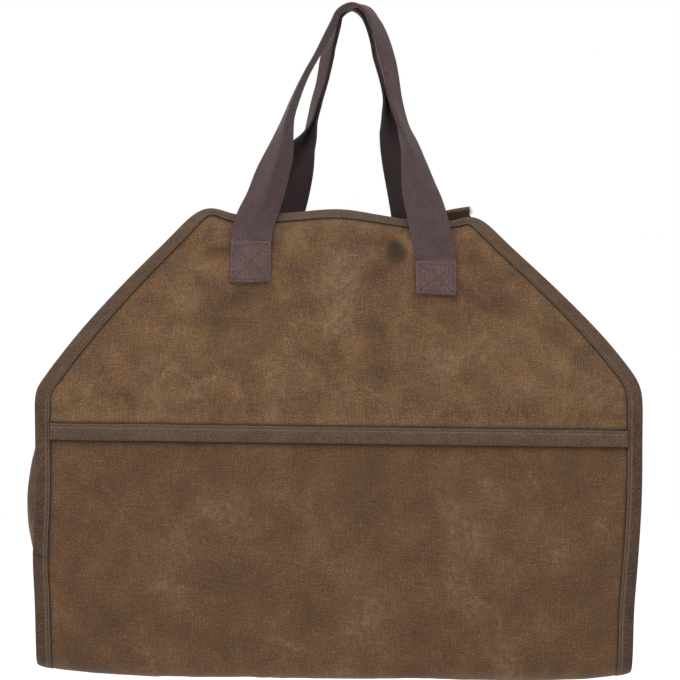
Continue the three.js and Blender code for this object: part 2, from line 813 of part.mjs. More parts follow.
// A whole handle: sewn end, left leg, grip, right leg, sewn end
function handle(leftLeg, rightLeg, spacing, shift, [leftEnd, rightEnd], mirror) {
  const facing = new THREE.Vector3(0, mirror ? 1 : -1, 0);
  const towardsRight = mirror ? -1 : 1;
  const leftPatch = patchRows(shift - spacing / 2, leftEnd, mirror, towardsRight);
  const rightPatch = patchRows(shift + spacing / 2, rightEnd, mirror, -towardsRight);
  const middleColumn = (webbingColumns.length - 1) / 2;
  const leftStart = leftPatch[leftPatch.length - 1][middleColumn];
  const rightStart = rightPatch[rightPatch.length - 1][middleColumn];
  const shut = webbingSection(0);
  const gripDepth = shut[0].back + gap / 2;
  const gripHeight = shut[shut.length - 1].across + webbingThick / 2;

  const legRows = (leg, start) => leg.map(({ up, across, open, turn }) => ({
    place: new THREE.Vector3(
      start.x * across,
      THREE.MathUtils.lerp(start.y, facing.y * gripDepth, up),
      THREE.MathUtils.lerp(start.z, 0, up),
    ),
    open,
    turn,
  }));
  const top = {
    place: new THREE.Vector3(0, facing.y * gripDepth, gripHeight),
    open: 0,
    turn: 0,
  };
  const controls = [
    { place: leftStart, open: 1, turn: 0 },
    ...legRows(leftLeg, leftStart),
    top,
    ...legRows(rightLeg, rightStart).reverse(),
    { place: rightStart, open: 1, turn: 0 },
  ];
  const curve = new THREE.CatmullRomCurve3(controls.map(({ place }) => place), false, 'centripetal');
  const between = (name, t) => {
    const at = t * (controls.length - 1);
    const i = Math.min(Math.floor(at), controls.length - 2);
    return THREE.MathUtils.lerp(controls[i][name], controls[i + 1][name], at - i);
  };

  const freeRows = [];
  for (let i = 1; i < handleRows; i += 1) {
    const t = i / handleRows;
    const centre = curve.getPoint(t);
    const along = curve.getTangent(t);
    const out = facing.clone().addScaledVector(along, -facing.dot(along)).normalize();
    out.applyAxisAngle(along, THREE.MathUtils.degToRad(between('turn', t)));
    const across = along.clone().cross(out);
    freeRows.push(webbingSection(between('open', t)).map((place) => (
      centre.clone().addScaledVector(across, place.across).addScaledVector(out, -place.back))));
  }
  const rows = [...leftPatch, ...freeRows, ...rightPatch.reverse()];
  return thicken(rows.flat(), gridCells(rows.length, webbingColumns.length), webbingThick);
}

// Where the handles' ends are sewn on: the drop below the top edge and the length of each patch
const frontEnds = [
  { drop: leftPatchDrop, length: leftPatchLength },
  { drop: rightPatchDrop, length: rightPatchLength },
];
const rearEnds = [
  { drop: rearPatchDrop, length: rearPatchLength },
  { drop: rearPatchDrop, length: rearPatchLength },
];

// Materials
const waxedCanvas = new THREE.MeshStandardMaterial({ color: 0x6f5942, roughness: 0.85, metalness: 0 });
const bindingTape = new THREE.MeshStandardMaterial({ color: 0x5b4c40, roughness: 0.9, metalness: 0 });
const webbing = new THREE.MeshStandardMaterial({ color: 0x5c4c4a, roughness: 0.85, metalness: 0 });

const logCarrier = new THREE.Group();

function addPiece(name, geometry, material) {
  const mesh = new THREE.Mesh(geometry, material);
  mesh.name = name;
  logCarrier.add(mesh);
}

addPiece('front_upper_panel', upperPanel(frontUpperRows, false), waxedCanvas);
addPiece('rear_upper_panel', upperPanel(rearUpperRows, true), waxedCanvas);
addPiece('body_sling', bodySling(), waxedCanvas);
addPiece('left_gusset', endPanel(0, leftEndRoll), waxedCanvas);
addPiece('right_gusset', endPanel(1, rightEndRoll), waxedCanvas);
addPiece('edge_binding_front', edgeBindingFront(), bindingTape);
addPiece('edge_binding_rear', edgeBindingRear(), bindingTape);
addPiece('front_cross_binding', crossBinding(false), bindingTape);
addPiece('rear_cross_binding', crossBinding(true), bindingTape);
addPiece(
  'front_handle',
  handle(frontLeftLeg, frontRightLeg, frontStrapSpacing, frontStrapShift, frontEnds, false),
  webbing,
);
addPiece(
  'rear_handle',
  handle(rearLeftLeg, rearRightLeg, rearStrapSpacing, rearStrapShift, rearEnds, true),
  webbing,
);

export default logCarrier;
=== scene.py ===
# %% [markdown]
# # A canvas log carrier
# The real one is a soft bag of waxed cotton canvas that carries split firewood: a sling that
# runs down the front, under the logs and up the back, two upper panels that draw in to the
# mouth, two folded end panels, woven tape over every cut edge, and two webbing handles.
# It hangs empty by its handles, so nothing is pushed out from inside and the cloth lies in
# soft planes with shallow dents.

import math

import bpy
import numpy as np
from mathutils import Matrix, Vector, kdtree


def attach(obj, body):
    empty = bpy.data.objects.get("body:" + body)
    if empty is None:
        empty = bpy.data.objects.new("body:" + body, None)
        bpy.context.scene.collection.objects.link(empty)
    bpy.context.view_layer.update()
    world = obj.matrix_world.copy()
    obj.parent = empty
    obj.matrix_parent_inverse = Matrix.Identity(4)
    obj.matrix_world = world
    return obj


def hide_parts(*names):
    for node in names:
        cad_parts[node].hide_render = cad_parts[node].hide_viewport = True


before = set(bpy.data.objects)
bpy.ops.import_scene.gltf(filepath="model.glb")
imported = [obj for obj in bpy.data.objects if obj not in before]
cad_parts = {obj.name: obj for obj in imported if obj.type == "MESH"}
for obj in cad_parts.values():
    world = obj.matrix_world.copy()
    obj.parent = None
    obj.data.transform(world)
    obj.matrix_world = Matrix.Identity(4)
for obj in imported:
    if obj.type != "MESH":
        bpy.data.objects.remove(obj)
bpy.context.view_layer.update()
bpy.ops.object.select_all(action="DESELECT")
print("nodes:", ", ".join(sorted(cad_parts)))

# %% [markdown]
# ## Sizes
# The sizes are those of the pattern pieces and of the bag as it hangs. They are given in
# millimetres, as a sewing pattern gives them, and turned to metres once, here.

# %% Sizes of the cloth, the bag and its handles
MM = 0.001
CANVAS, TAPE, WEBBING = 1.0 * MM, 1.0 * MM, 2.0 * MM
TAPE_WIDTH, TOP_TAPE_WIDTH, CROSS_TAPE_WIDTH = 12.5 * MM, 10 * MM, 15 * MM
WEBBING_WIDTH, GAP = 38 * MM, 0.3 * MM
SEAM_WIDTH, BOTTOM_WIDTH, TOP_WIDTH = 564 * MM, 546 * MM, 257 * MM
UPPER_HEIGHT, LOWER_HEIGHT = 205 * MM, 222.5 * MM
BAG_DEPTH, SEAM_DEPTH, MOUTH_DEPTH = 200 * MM, 150 * MM, 60 * MM
CORNER_RADIUS, BOTTOM_SAG, FLOOR_SAG, TOP_WAVE = 20 * MM, 9.5 * MM, 3 * MM, 10 * MM
SAG_FULLNESS = 9
HANDLE_DROP, HANG_OFFSET, BODY_LEAN = 196.5 * MM, 7.5 * MM, math.radians(0.75)
PATCH_GAP, PATCH_TURN, CREASE = 0.7 * MM, 4 * MM, 3.6 * MM
REAR_TUCK = 9.5 * MM  # how far the rear panel's right shoulder is drawn in behind the front
END_FADE, LEFT_ROLL, RIGHT_ROLL, END_TURN = 0.75, 40 * MM, 5 * MM, 2 * MM

# The sewn ends of the handles: middle from the middle of the panel, drop below its top, length
FRONT_ENDS = ((-85.2 * MM, 33 * MM, 41 * MM), (89.8 * MM, 49.5 * MM, 33 * MM))
REAR_ENDS = ((-64.2 * MM, 36 * MM, 38 * MM), (73.8 * MM, 36 * MM, 38 * MM))

SEAM_LEVEL = -(HANDLE_DROP + UPPER_HEIGHT)
BOTTOM_LEVEL = SEAM_LEVEL - LOWER_HEIGHT
WALL = LOWER_HEIGHT - CORNER_RADIUS
TAPE_SEAT = CANVAS / 2 + GAP
LAYER = CANVAS + GAP
LAP_OUT = TAPE_SEAT + TAPE + GAP + CANVAS / 2
LAP_LENGTH = CROSS_TAPE_WIDTH - TAPE - GAP

# %% [markdown]
# ## Stations round the body
# The sling and the two upper panels make one long band of cloth. A place on it has two
# numbers: s, the share across from the left side to the right, and v, the station on the way
# from the front top edge (0) over the front seam (1), the front corner (2 to 3), the middle of
# the bottom (4) and up the back to the rear top edge (8). Every piece that touches the cloth
# is placed by the same two numbers, so that tape, stitches and handles sit on it exactly.

# %% Tables of the hanging form
SEAM, CORNER, FLOOR, MIDDLE, REAR_TOP = 1, 2, 3, 4, 8
UPPER_OUTLINE = {
    "up": [0.0, 0.15, 0.22, 0.3, 0.45, 0.65, 0.85, 0.94, 1.0],
    "left": [0.0, 0.0, 0.055, 0.13, 0.285, 0.52, 0.775, 0.888, 0.975],
    "right": [0.0, 0.0, 0.02, 0.09, 0.255, 0.515, 0.795, 0.915, 1.0],
}
LOWER_OUTLINE = {
    "down": [0.0, 0.3, 0.6, 0.8, 1.0],
    "left": [0.0, 0.3, 0.25, 0.55, 0.75],
    "right": [0.0, 0.15, 0.6, 0.95, 1.05],
}
UPPER_LEAN = {
    "up": [0.0, 0.3, 0.6, 0.85, 0.93, 1.0],
    "lean": [0.0, 0.2, 0.42, 0.64, 0.76, 1.0],
}
FRONT_TOP_EDGE = {
    "across": [0.0, 0.03, 0.11, 0.2, 0.32, 0.5, 0.66, 0.78, 0.92, 0.97, 1.0],
    "rise": [0.0, 0.1, -0.55, -0.7, -0.4, 0.0, -0.55, -1.0, -0.95, -0.4, -0.4],
}
REAR_TOP_EDGE = {
    "across": [0.0, 0.25, 0.5, 0.78, 0.9, 1.0],
    "rise": [-0.2, -0.8, -0.5, -0.5, 0.3, 0.75],
}
# Soft dents: across, up, turn in degrees, length, width (shares of the top) and depth
FRONT_FOLDS = [
    (0.665, 0.84, 70, 0.065, 0.045, 0.13),
    (0.6, 0.7, 47, 0.14, 0.04, 0.07),
    (0.12, 0.86, 0, 0.09, 0.03, -0.06),
    (0.5, 0.55, 90, 0.25, 0.12, -0.08),
    (0.25, 0.35, 60, 0.25, 0.14, 0.06),
    (0.95, -0.2, -35, 0.09, 0.035, 0.06),
]
EDGE_STIFF = 0.05


def read_table(table, key, column, at):
    """Reads a column at a share of its key, with a smooth curve through the rows."""
    places, values = np.array(table[key], float), np.array(table[column], float)
    before = np.maximum(np.arange(len(places)) - 1, 0)
    after = np.minimum(np.arange(len(places)) + 1, len(places) - 1)
    slopes = (values[after] - values[before]) / (places[after] - places[before])
    at = np.clip(at, places[0], places[-1])
    i = np.clip(np.searchsorted(places, at, side="right") - 1, 0, len(places) - 2)
    span = places[i + 1] - places[i]
    t = (at - places[i]) / span
    rest = 1 - t
    return (
        (1 + 2 * t) * rest**2 * values[i]
        + t * rest**2 * span * slopes[i]
        + t * t * (3 - 2 * t) * values[i + 1]
        - t * t * rest * span * slopes[i + 1]
    )


def smooth(x, low, high):
    t = np.clip((x - low) / (high - low), 0, 1)
    return t * t * (3 - 2 * t)


def blend(a, b, t):
    return a + (b - a) * t


def front_station(v):
    """The station of the front that lies opposite, for one at the back."""
    return np.where(v <= MIDDLE, v, REAR_TOP - v)


# %% [markdown]
# ## The one surface of cloth
# Side on, the carrier is a wedge: narrow at the mouth, wider at the seam, widest at the
# bottom, where it turns under in a soft corner. Seen from the front it is a rectangle with
# cut shoulders. The surface below gives both at once, with the sag of the bottom between its
# two stiff ends, the wavy top edge and the few large dents that the photograph shows.

# %% Surface of the hanging cloth
def profile(v):
    """Distance out from the middle plane, and height, at station v."""
    w = front_station(v)
    up, down = np.clip(SEAM - w, 0, 1), np.clip(w - SEAM, 0, 1)
    angle, inward = np.clip(w - CORNER, 0, 1) * np.pi / 2, np.clip(w - FLOOR, 0, 1)
    lean = read_table(UPPER_LEAN, "up", "lean", up)
    parts = [w <= SEAM, w <= CORNER, w <= FLOOR]
    out = np.select(parts, [
        blend(SEAM_DEPTH / 2, MOUTH_DEPTH / 2, lean),
        blend(SEAM_DEPTH / 2, BAG_DEPTH / 2, np.sin(down * np.pi / 2)),
        BAG_DEPTH / 2 - CORNER_RADIUS * (1 - np.cos(angle)),
    ], (BAG_DEPTH / 2 - CORNER_RADIUS) * (1 - inward))
    height = np.select(parts, [
        SEAM_LEVEL + UPPER_HEIGHT * up,
        SEAM_LEVEL - WALL * down,
        BOTTOM_LEVEL + CORNER_RADIUS * (1 - np.sin(angle)),
    ], BOTTOM_LEVEL - FLOOR_SAG * np.sin(inward * np.pi / 2))
    return out, height


def half_width(v, side):
    w = front_station(v)
    upper = read_table(UPPER_OUTLINE, "up", side, SEAM - w)
    lower = read_table(LOWER_OUTLINE, "down", side, np.minimum(w - SEAM, 1))
    return np.where(
        w <= SEAM,
        blend(SEAM_WIDTH, TOP_WIDTH, upper),
        blend(SEAM_WIDTH, BOTTOM_WIDTH, lower),
    ) / 2


def width_at(v):
    return half_width(v, "left") + half_width(v, "right")


def across_at(s, v):
    """Metres from the middle of the body, along the cloth, at share s."""
    return blend(-half_width(v, "left"), half_width(v, "right"), s)


def share_at(x, v):
    return (x + half_width(v, "left")) / width_at(v)


def fold_depth(s, w):
    """How deep the large dents of the front are. They die out towards its bound sides."""
    depth = 0
    for across, up, turn, long, wide, deep in FRONT_FOLDS:
        dx, dz = (s - across) * width_at(w), (SEAM - w - up) * UPPER_HEIGHT
        c, d = math.cos(math.radians(turn)), math.sin(math.radians(turn))
        reach = ((dx * c + dz * d) / (long * TOP_WIDTH)) ** 2
        reach = reach + ((dz * c - dx * d) / (wide * TOP_WIDTH)) ** 2
        depth = depth + deep * MOUTH_DEPTH * np.exp(-reach)
    return depth * smooth(np.minimum(s, 1 - s), EDGE_STIFF, 3 * EDGE_STIFF)


def cloth(s, v):
    """A place on the hanging cloth."""
    s, v = np.broadcast_arrays(np.asarray(s, float), np.asarray(v, float))
    w, front = front_station(v), v <= MIDDLE
    out, height = profile(v)
    tuck = np.where(front, 0, REAR_TUCK * (0.35 + 0.65 * smooth(w, 0, 0.05)))
    x = across_at(s, v) - HANG_OFFSET - tuck * smooth(s, 0.7, 1) * np.clip(1 - w, 0, 1) ** 2
    z = height - BOTTOM_SAG * smooth(w, SEAM, CORNER) * (
        1 - np.abs(2 * s - 1) ** SAG_FULLNESS)
    y = np.where(front, -out, out)
    edge = np.where(
        front,
        read_table(FRONT_TOP_EDGE, "across", "rise", s),
        read_table(REAR_TOP_EDGE, "across", "rise", s),
    )
    z = z + np.where(w < SEAM, TOP_WAVE * edge * np.clip(1 - w, 0, 1) ** 2, 0)
    y = y + np.where(front & (w < CORNER), fold_depth(s, w), 0)
    c, d = math.cos(BODY_LEAN), math.sin(BODY_LEAN)
    return np.stack([x * c + z * d, y, z * c - x * d], -1)


def unit(a):
    return a / np.maximum(np.linalg.norm(a, axis=-1, keepdims=True), 1e-12)


def running_length(places):
    """How far along a row of places each one of them lies."""
    return np.concatenate([[0], np.cumsum(np.linalg.norm(np.diff(places, axis=0), axis=1))])


def cloth_normal(s, v):
    s, v = np.broadcast_arrays(np.asarray(s, float), np.asarray(v, float))
    step = 0.002
    along_s = cloth(s + step, v) - cloth(s - step, v)
    along_v = cloth(s, np.minimum(v + step, REAR_TOP)) - cloth(s, np.maximum(v - step, 0))
    return unit(np.cross(along_v, along_s))


def lifted(s, v, lift=0.0):
    """A place that many metres off the cloth, outwards where lift is positive."""
    return cloth(s, v) + cloth_normal(s, v) * np.asarray(lift)[..., None]


def band_share(v, s):
    """The side tape's width as a share of the body's width."""
    step = 0.01
    edge = unit(cloth(s, np.minimum(v + step, REAR_TOP)) - cloth(s, np.maximum(v - step, 0)))
    slant = np.sqrt(1 - edge[..., 0] ** 2)
    wide = TAPE_WIDTH * blend(0.8, 1, smooth(front_station(v), 0.1, 0.7))
    return wide / (width_at(v) * slant)


ROUND_TRIP = np.linspace(0, REAR_TOP, 4001)
trip_out, trip_height = profile(ROUND_TRIP)
trip_side = np.where(ROUND_TRIP <= MIDDLE, -trip_out, trip_out)
CLOTH_LENGTH = running_length(np.stack([trip_side, trip_height], -1))


def length_at(v):
    """Metres of cloth from the front top edge to station v."""
    return np.interp(v, ROUND_TRIP, CLOTH_LENGTH)


def station_at(length):
    return np.interp(length, CLOTH_LENGTH, ROUND_TRIP)


UPPER_STATIONS = np.linspace(0, 1, 201)
BELOW_TOP = running_length(cloth(0.5, UPPER_STATIONS))


def below_top(distance):
    """The station that lies a distance below the front top edge."""
    return np.interp(distance, BELOW_TOP, UPPER_STATIONS)


LIP = below_top(TOP_TAPE_WIDTH)
EASED = LIP * 1.25
LAP_START = 0.93
HAIR = GAP / WALL
LAP_END = SEAM + LAP_LENGTH / WALL
END_TOP = SEAM + 2 * HAIR
JOINT = SEAM + 0.52
print(f"cloth from top edge to top edge: {CLOTH_LENGTH[-1]:.3f} m")

# %% [markdown]
# ## Wrinkles
# Waxed canvas keeps every bend it was given. The large dents are in the surface above. What
# is left is a field of shallow hills some 10 to 100 mm across, faint creases where it was
# once folded, and little puckers beside each line of stitching. They could be painted with a
# bump map, but real relief also changes the outline and the shadows, so it goes in the mesh.
# The hills are gradient noise from a seeded table, the same at each run.

# %% Relief of the cloth
# Sizes of the hills and how high they stand, from the largest to the smallest
HILLS = ((120 * MM, 1.5 * MM), (55 * MM, 0.9 * MM), (27 * MM, 0.42 * MM), (12 * MM, 0.16 * MM))
CREASE_HEIGHT = 0.5 * MM
PUCKER_HEIGHT, PUCKER_SPACING, PUCKER_REACH = 0.42 * MM, 7.5 * MM, 9 * MM


def hills(x, y, size, seed):
    """Smooth random hills from -1 to 1, about one for every `size` metres each way."""
    turns = np.random.default_rng(seed).uniform(0, 2 * np.pi, (61, 67))
    gx, gy = np.asarray(x) / size + 400.3, np.asarray(y) / size + 400.7
    ix, iy = np.floor(gx).astype(int), np.floor(gy).astype(int)
    fx, fy = gx - ix, gy - iy

    def corner(dx, dy):
        turn = turns[(ix + dx) % 61, (iy + dy) % 67]
        return np.cos(turn) * (fx - dx) + np.sin(turn) * (fy - dy)

    ease_x = fx**3 * (fx * (fx * 6 - 15) + 10)
    ease_y = fy**3 * (fy * (fy * 6 - 15) + 10)
    low = blend(corner(0, 0), corner(1, 0), ease_x)
    high = blend(corner(0, 1), corner(1, 1), ease_x)
    return 1.5 * blend(low, high, ease_y)


def soft_relief(x, y, seed):
    """The canvas's own hills and old creases, in metres of height."""
    wx = x + 0.012 * hills(x, y, 0.06, seed + 1)
    wy = y + 0.012 * hills(x, y, 0.06, seed + 2)
    height = 0
    for k, (size, high) in enumerate(HILLS):
        height = height + high * hills(wx, wy, size, seed + 3 + k)
    return height + CREASE_HEIGHT * creases(x, y, seed + 7)


def creases(x, y, seed):
    """Where the cloth was once folded: thin broken lines, from 0 to 1."""
    lines = 0
    for size, part in ((0.085, 0), (0.05, 3)):
        wx = x + 0.014 * hills(x, y, 0.05, seed + part)
        ridge = 1 - 1.15 * np.abs(hills(wx, y, size, seed + part + 1))
        broken = smooth(hills(x, y, 0.045, seed + part + 2), 0.0, 0.5)
        lines = np.maximum(lines, np.clip(ridge, 0, 1) ** 24 * broken)
    return lines


def puckers(along, away, seed):
    """Short ripples beside a seam: along it, and away from it, in metres."""
    ripple = hills(along, away * 0.35, PUCKER_SPACING, seed)
    calm = 0.6 + 0.4 * hills(along, 0 * away, 0.06, seed + 1)
    fading = smooth(away, 0, 0.004) * np.exp(-np.abs(away) / PUCKER_REACH)
    return PUCKER_HEIGHT * ripple * calm * fading


# %% [markdown]
# ## Cutting and hanging
# Every textile piece is made the way the real one is. It is cut flat, as a grid of the true
# cut size, and its own UV map keeps that flat cut in metres, so the weave runs true on it
# whatever the cloth does. Then each of its points is carried to where it hangs, and Solidify
# gives the cloth its thickness. The other way, modelling the hung form directly, would leave
# the weave stretched over the folds.

# %% Tools for cutting, carrying and thickening
def cut_cloth(name, columns, rows):
    """A flat grid to be cut. Returns it with each point's column and row."""
    bpy.ops.object.select_all(action="DESELECT")
    bpy.ops.mesh.primitive_grid_add(x_subdivisions=columns, y_subdivisions=rows, size=2)
    piece = bpy.context.active_object
    piece.name = piece.data.name = name
    flat = points_of(piece)
    return (
        piece,
        np.rint((flat[:, 0] + 1) / 2 * columns).astype(int),
        np.rint((flat[:, 1] + 1) / 2 * rows).astype(int),
    )


def finer_ends(share, much):
    """Moves shares from 0 to 1 so that their steps are finer at both ends."""
    return share - much * np.sin(2 * np.pi * share) / (2 * np.pi)


def points_of(piece):
    places = np.empty(len(piece.data.vertices) * 3)
    piece.data.vertices.foreach_get("co", places)
    return places.reshape(-1, 3)


def select_only(piece):
    bpy.ops.object.select_all(action="DESELECT")
    piece.select_set(True)
    bpy.context.view_layer.objects.active = piece


def mark(piece, name, values):
    """Gives each point of a piece a number that its material can read."""
    layer = piece.data.attributes.new(name, "FLOAT", "POINT")
    layer.data.foreach_set("value", np.asarray(values, np.float32).ravel())


def carry(piece, places, cut):
    """Carries the flat grid to where it hangs. Its UV map keeps the flat cut, in metres."""
    corners = np.empty(len(piece.data.loops), int)
    piece.data.loops.foreach_get("vertex_index", corners)
    layer = piece.data.uv_layers[0]
    layer.name = "cut"
    layer.data.foreach_set("uv", np.asarray(cut, np.float32)[corners].ravel())
    piece.data.vertices.foreach_set("co", np.asarray(places, np.float64).ravel())
    piece.data.update()


def drop_cells(piece, test):
    """Cuts away the cells whose middle, in metres of the flat cut, the test picks."""
    mesh = piece.data
    uv = np.empty(len(mesh.loops) * 2)
    mesh.uv_layers["cut"].data.foreach_get("uv", uv)
    middles = uv.reshape(-1, 4, 2).mean(axis=1)
    select_only(piece)
    picked = np.asarray(test(middles[:, 0], middles[:, 1]), bool)
    mesh.polygons.foreach_set("select", picked)
    bpy.ops.object.mode_set(mode="EDIT")
    bpy.ops.mesh.select_mode(type="FACE")
    bpy.ops.object.mode_set(mode="OBJECT")
    mesh.polygons.foreach_set("select", picked)
    bpy.ops.object.mode_set(mode="EDIT")
    bpy.ops.mesh.delete(type="FACE")
    bpy.ops.mesh.select_all(action="SELECT")
    bpy.ops.mesh.remove_doubles(threshold=0.00002)
    bpy.ops.object.mode_set(mode="OBJECT")


def thicken(piece, thickness, rounded=0.0):
    """Gives the cloth its thickness, half to each side, and may round its cut edges."""
    select_only(piece)
    wall = piece.modifiers.new("wall", "SOLIDIFY")
    wall.thickness, wall.offset = thickness, 0
    bpy.ops.object.modifier_apply(modifier="wall")
    if rounded:
        rim = piece.modifiers.new("rim", "BEVEL")
        rim.width, rim.segments, rim.limit_method = rounded, 2, "ANGLE"
        rim.angle_limit = math.radians(60)
        bpy.ops.object.modifier_apply(modifier="rim")
    bpy.ops.object.shade_smooth_by_angle(angle=math.radians(50))


def dress(piece, node, material):
    """Puts a finished piece in the frame: what it stands for, its body and its finish."""
    if node:
        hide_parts(node)
    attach(piece, "root")
    piece.data.materials.clear()
    piece.data.materials.append(material)
    faces = sum(len(p.vertices) - 2 for p in piece.data.polygons)
    print(f"{piece.name}: {faces} triangles")


def piece_of_copies(name, points, faces, material):
    """One piece made of many small solids whose points are already in place."""
    mesh = bpy.data.meshes.new(name)
    mesh.from_pydata(np.concatenate(points).tolist(), [], faces)
    mesh.update()
    piece = bpy.data.objects.new(name, mesh)
    bpy.context.collection.objects.link(piece)
    mesh.shade_smooth()
    dress(piece, None, material)
    return piece


# %% [markdown]
# ## Finishes
# A colour is given as a painter would note it, in sRGB hex, and turned to the linear light
# that the renderer works in by one function. Another small function adds a node with its
# settings and links, so each finish below reads as a list of what its surface does.

# %% Colour and node helpers
def linear(code):
    """An sRGB hex colour as linear RGBA."""
    parts = [int(code[i:i + 2], 16) / 255 for i in (1, 3, 5)]
    return [c / 12.92 if c <= 0.04045 else ((c + 0.055) / 1.055) ** 2.4 for c in parts] + [1.0]


def new_finish(name, **surface):
    """A material with its one shader, whose constant settings are set on its own sockets."""
    material = bpy.data.materials.new(name)
    material.use_nodes = True
    shader = material.node_tree.nodes["Principled BSDF"]
    for socket, value in surface.items():
        shader.inputs[socket.replace("_", " ")].default_value = value
    return material, shader


def add(material, kind, inputs=None, stops=(), out=0, **settings):
    """Adds a node and gives its output. An input is a value, or the socket linked to it."""
    node = material.node_tree.nodes.new(kind)
    for name, value in settings.items():
        setattr(node, name, value)
    for name, value in (inputs or {}).items():
        if isinstance(value, bpy.types.NodeSocket):
            material.node_tree.links.new(value, node.inputs[name])
        else:
            node.inputs[name].default_value = value
    while stops and len(node.color_ramp.elements) < len(stops):
        node.color_ramp.elements.new(0.5)
    for i, (place, colour) in enumerate(stops):
        node.color_ramp.elements[i].position = place
        node.color_ramp.elements[i].color = colour
    return node.outputs[out]


# %% [markdown]
# ### Waxed canvas
# The cloth is cotton duck, dyed, waxed and tumbled. Wax leaves it matt with a dull sheen,
# the dye is cloudy, from warm brown to grey-brown, and where it bent or rubbed the wax
# cracked paler. Single threads are about 0.6 mm, too fine for the picture, so what is drawn
# is the coarser unevenness of the yarn: slubs about 1.3 mm wide and 10 mm or more long, both
# ways of the weave, and pale and dark specks of lint and wax that are greyer than the dye.
# The relief's own high places and old creases, kept as a number on each point, are rubbed
# paler. The same number carries painted light: hollows and deep dents are painted darker as
# shade, and large bulges and the left end's roll paler as highlight. A painted shade line runs
# beside every tape and under each lapped edge. The sling is the same cloth, more even, and its
# darker tint is painted shade: its walls face the light from above less than the upper panels.

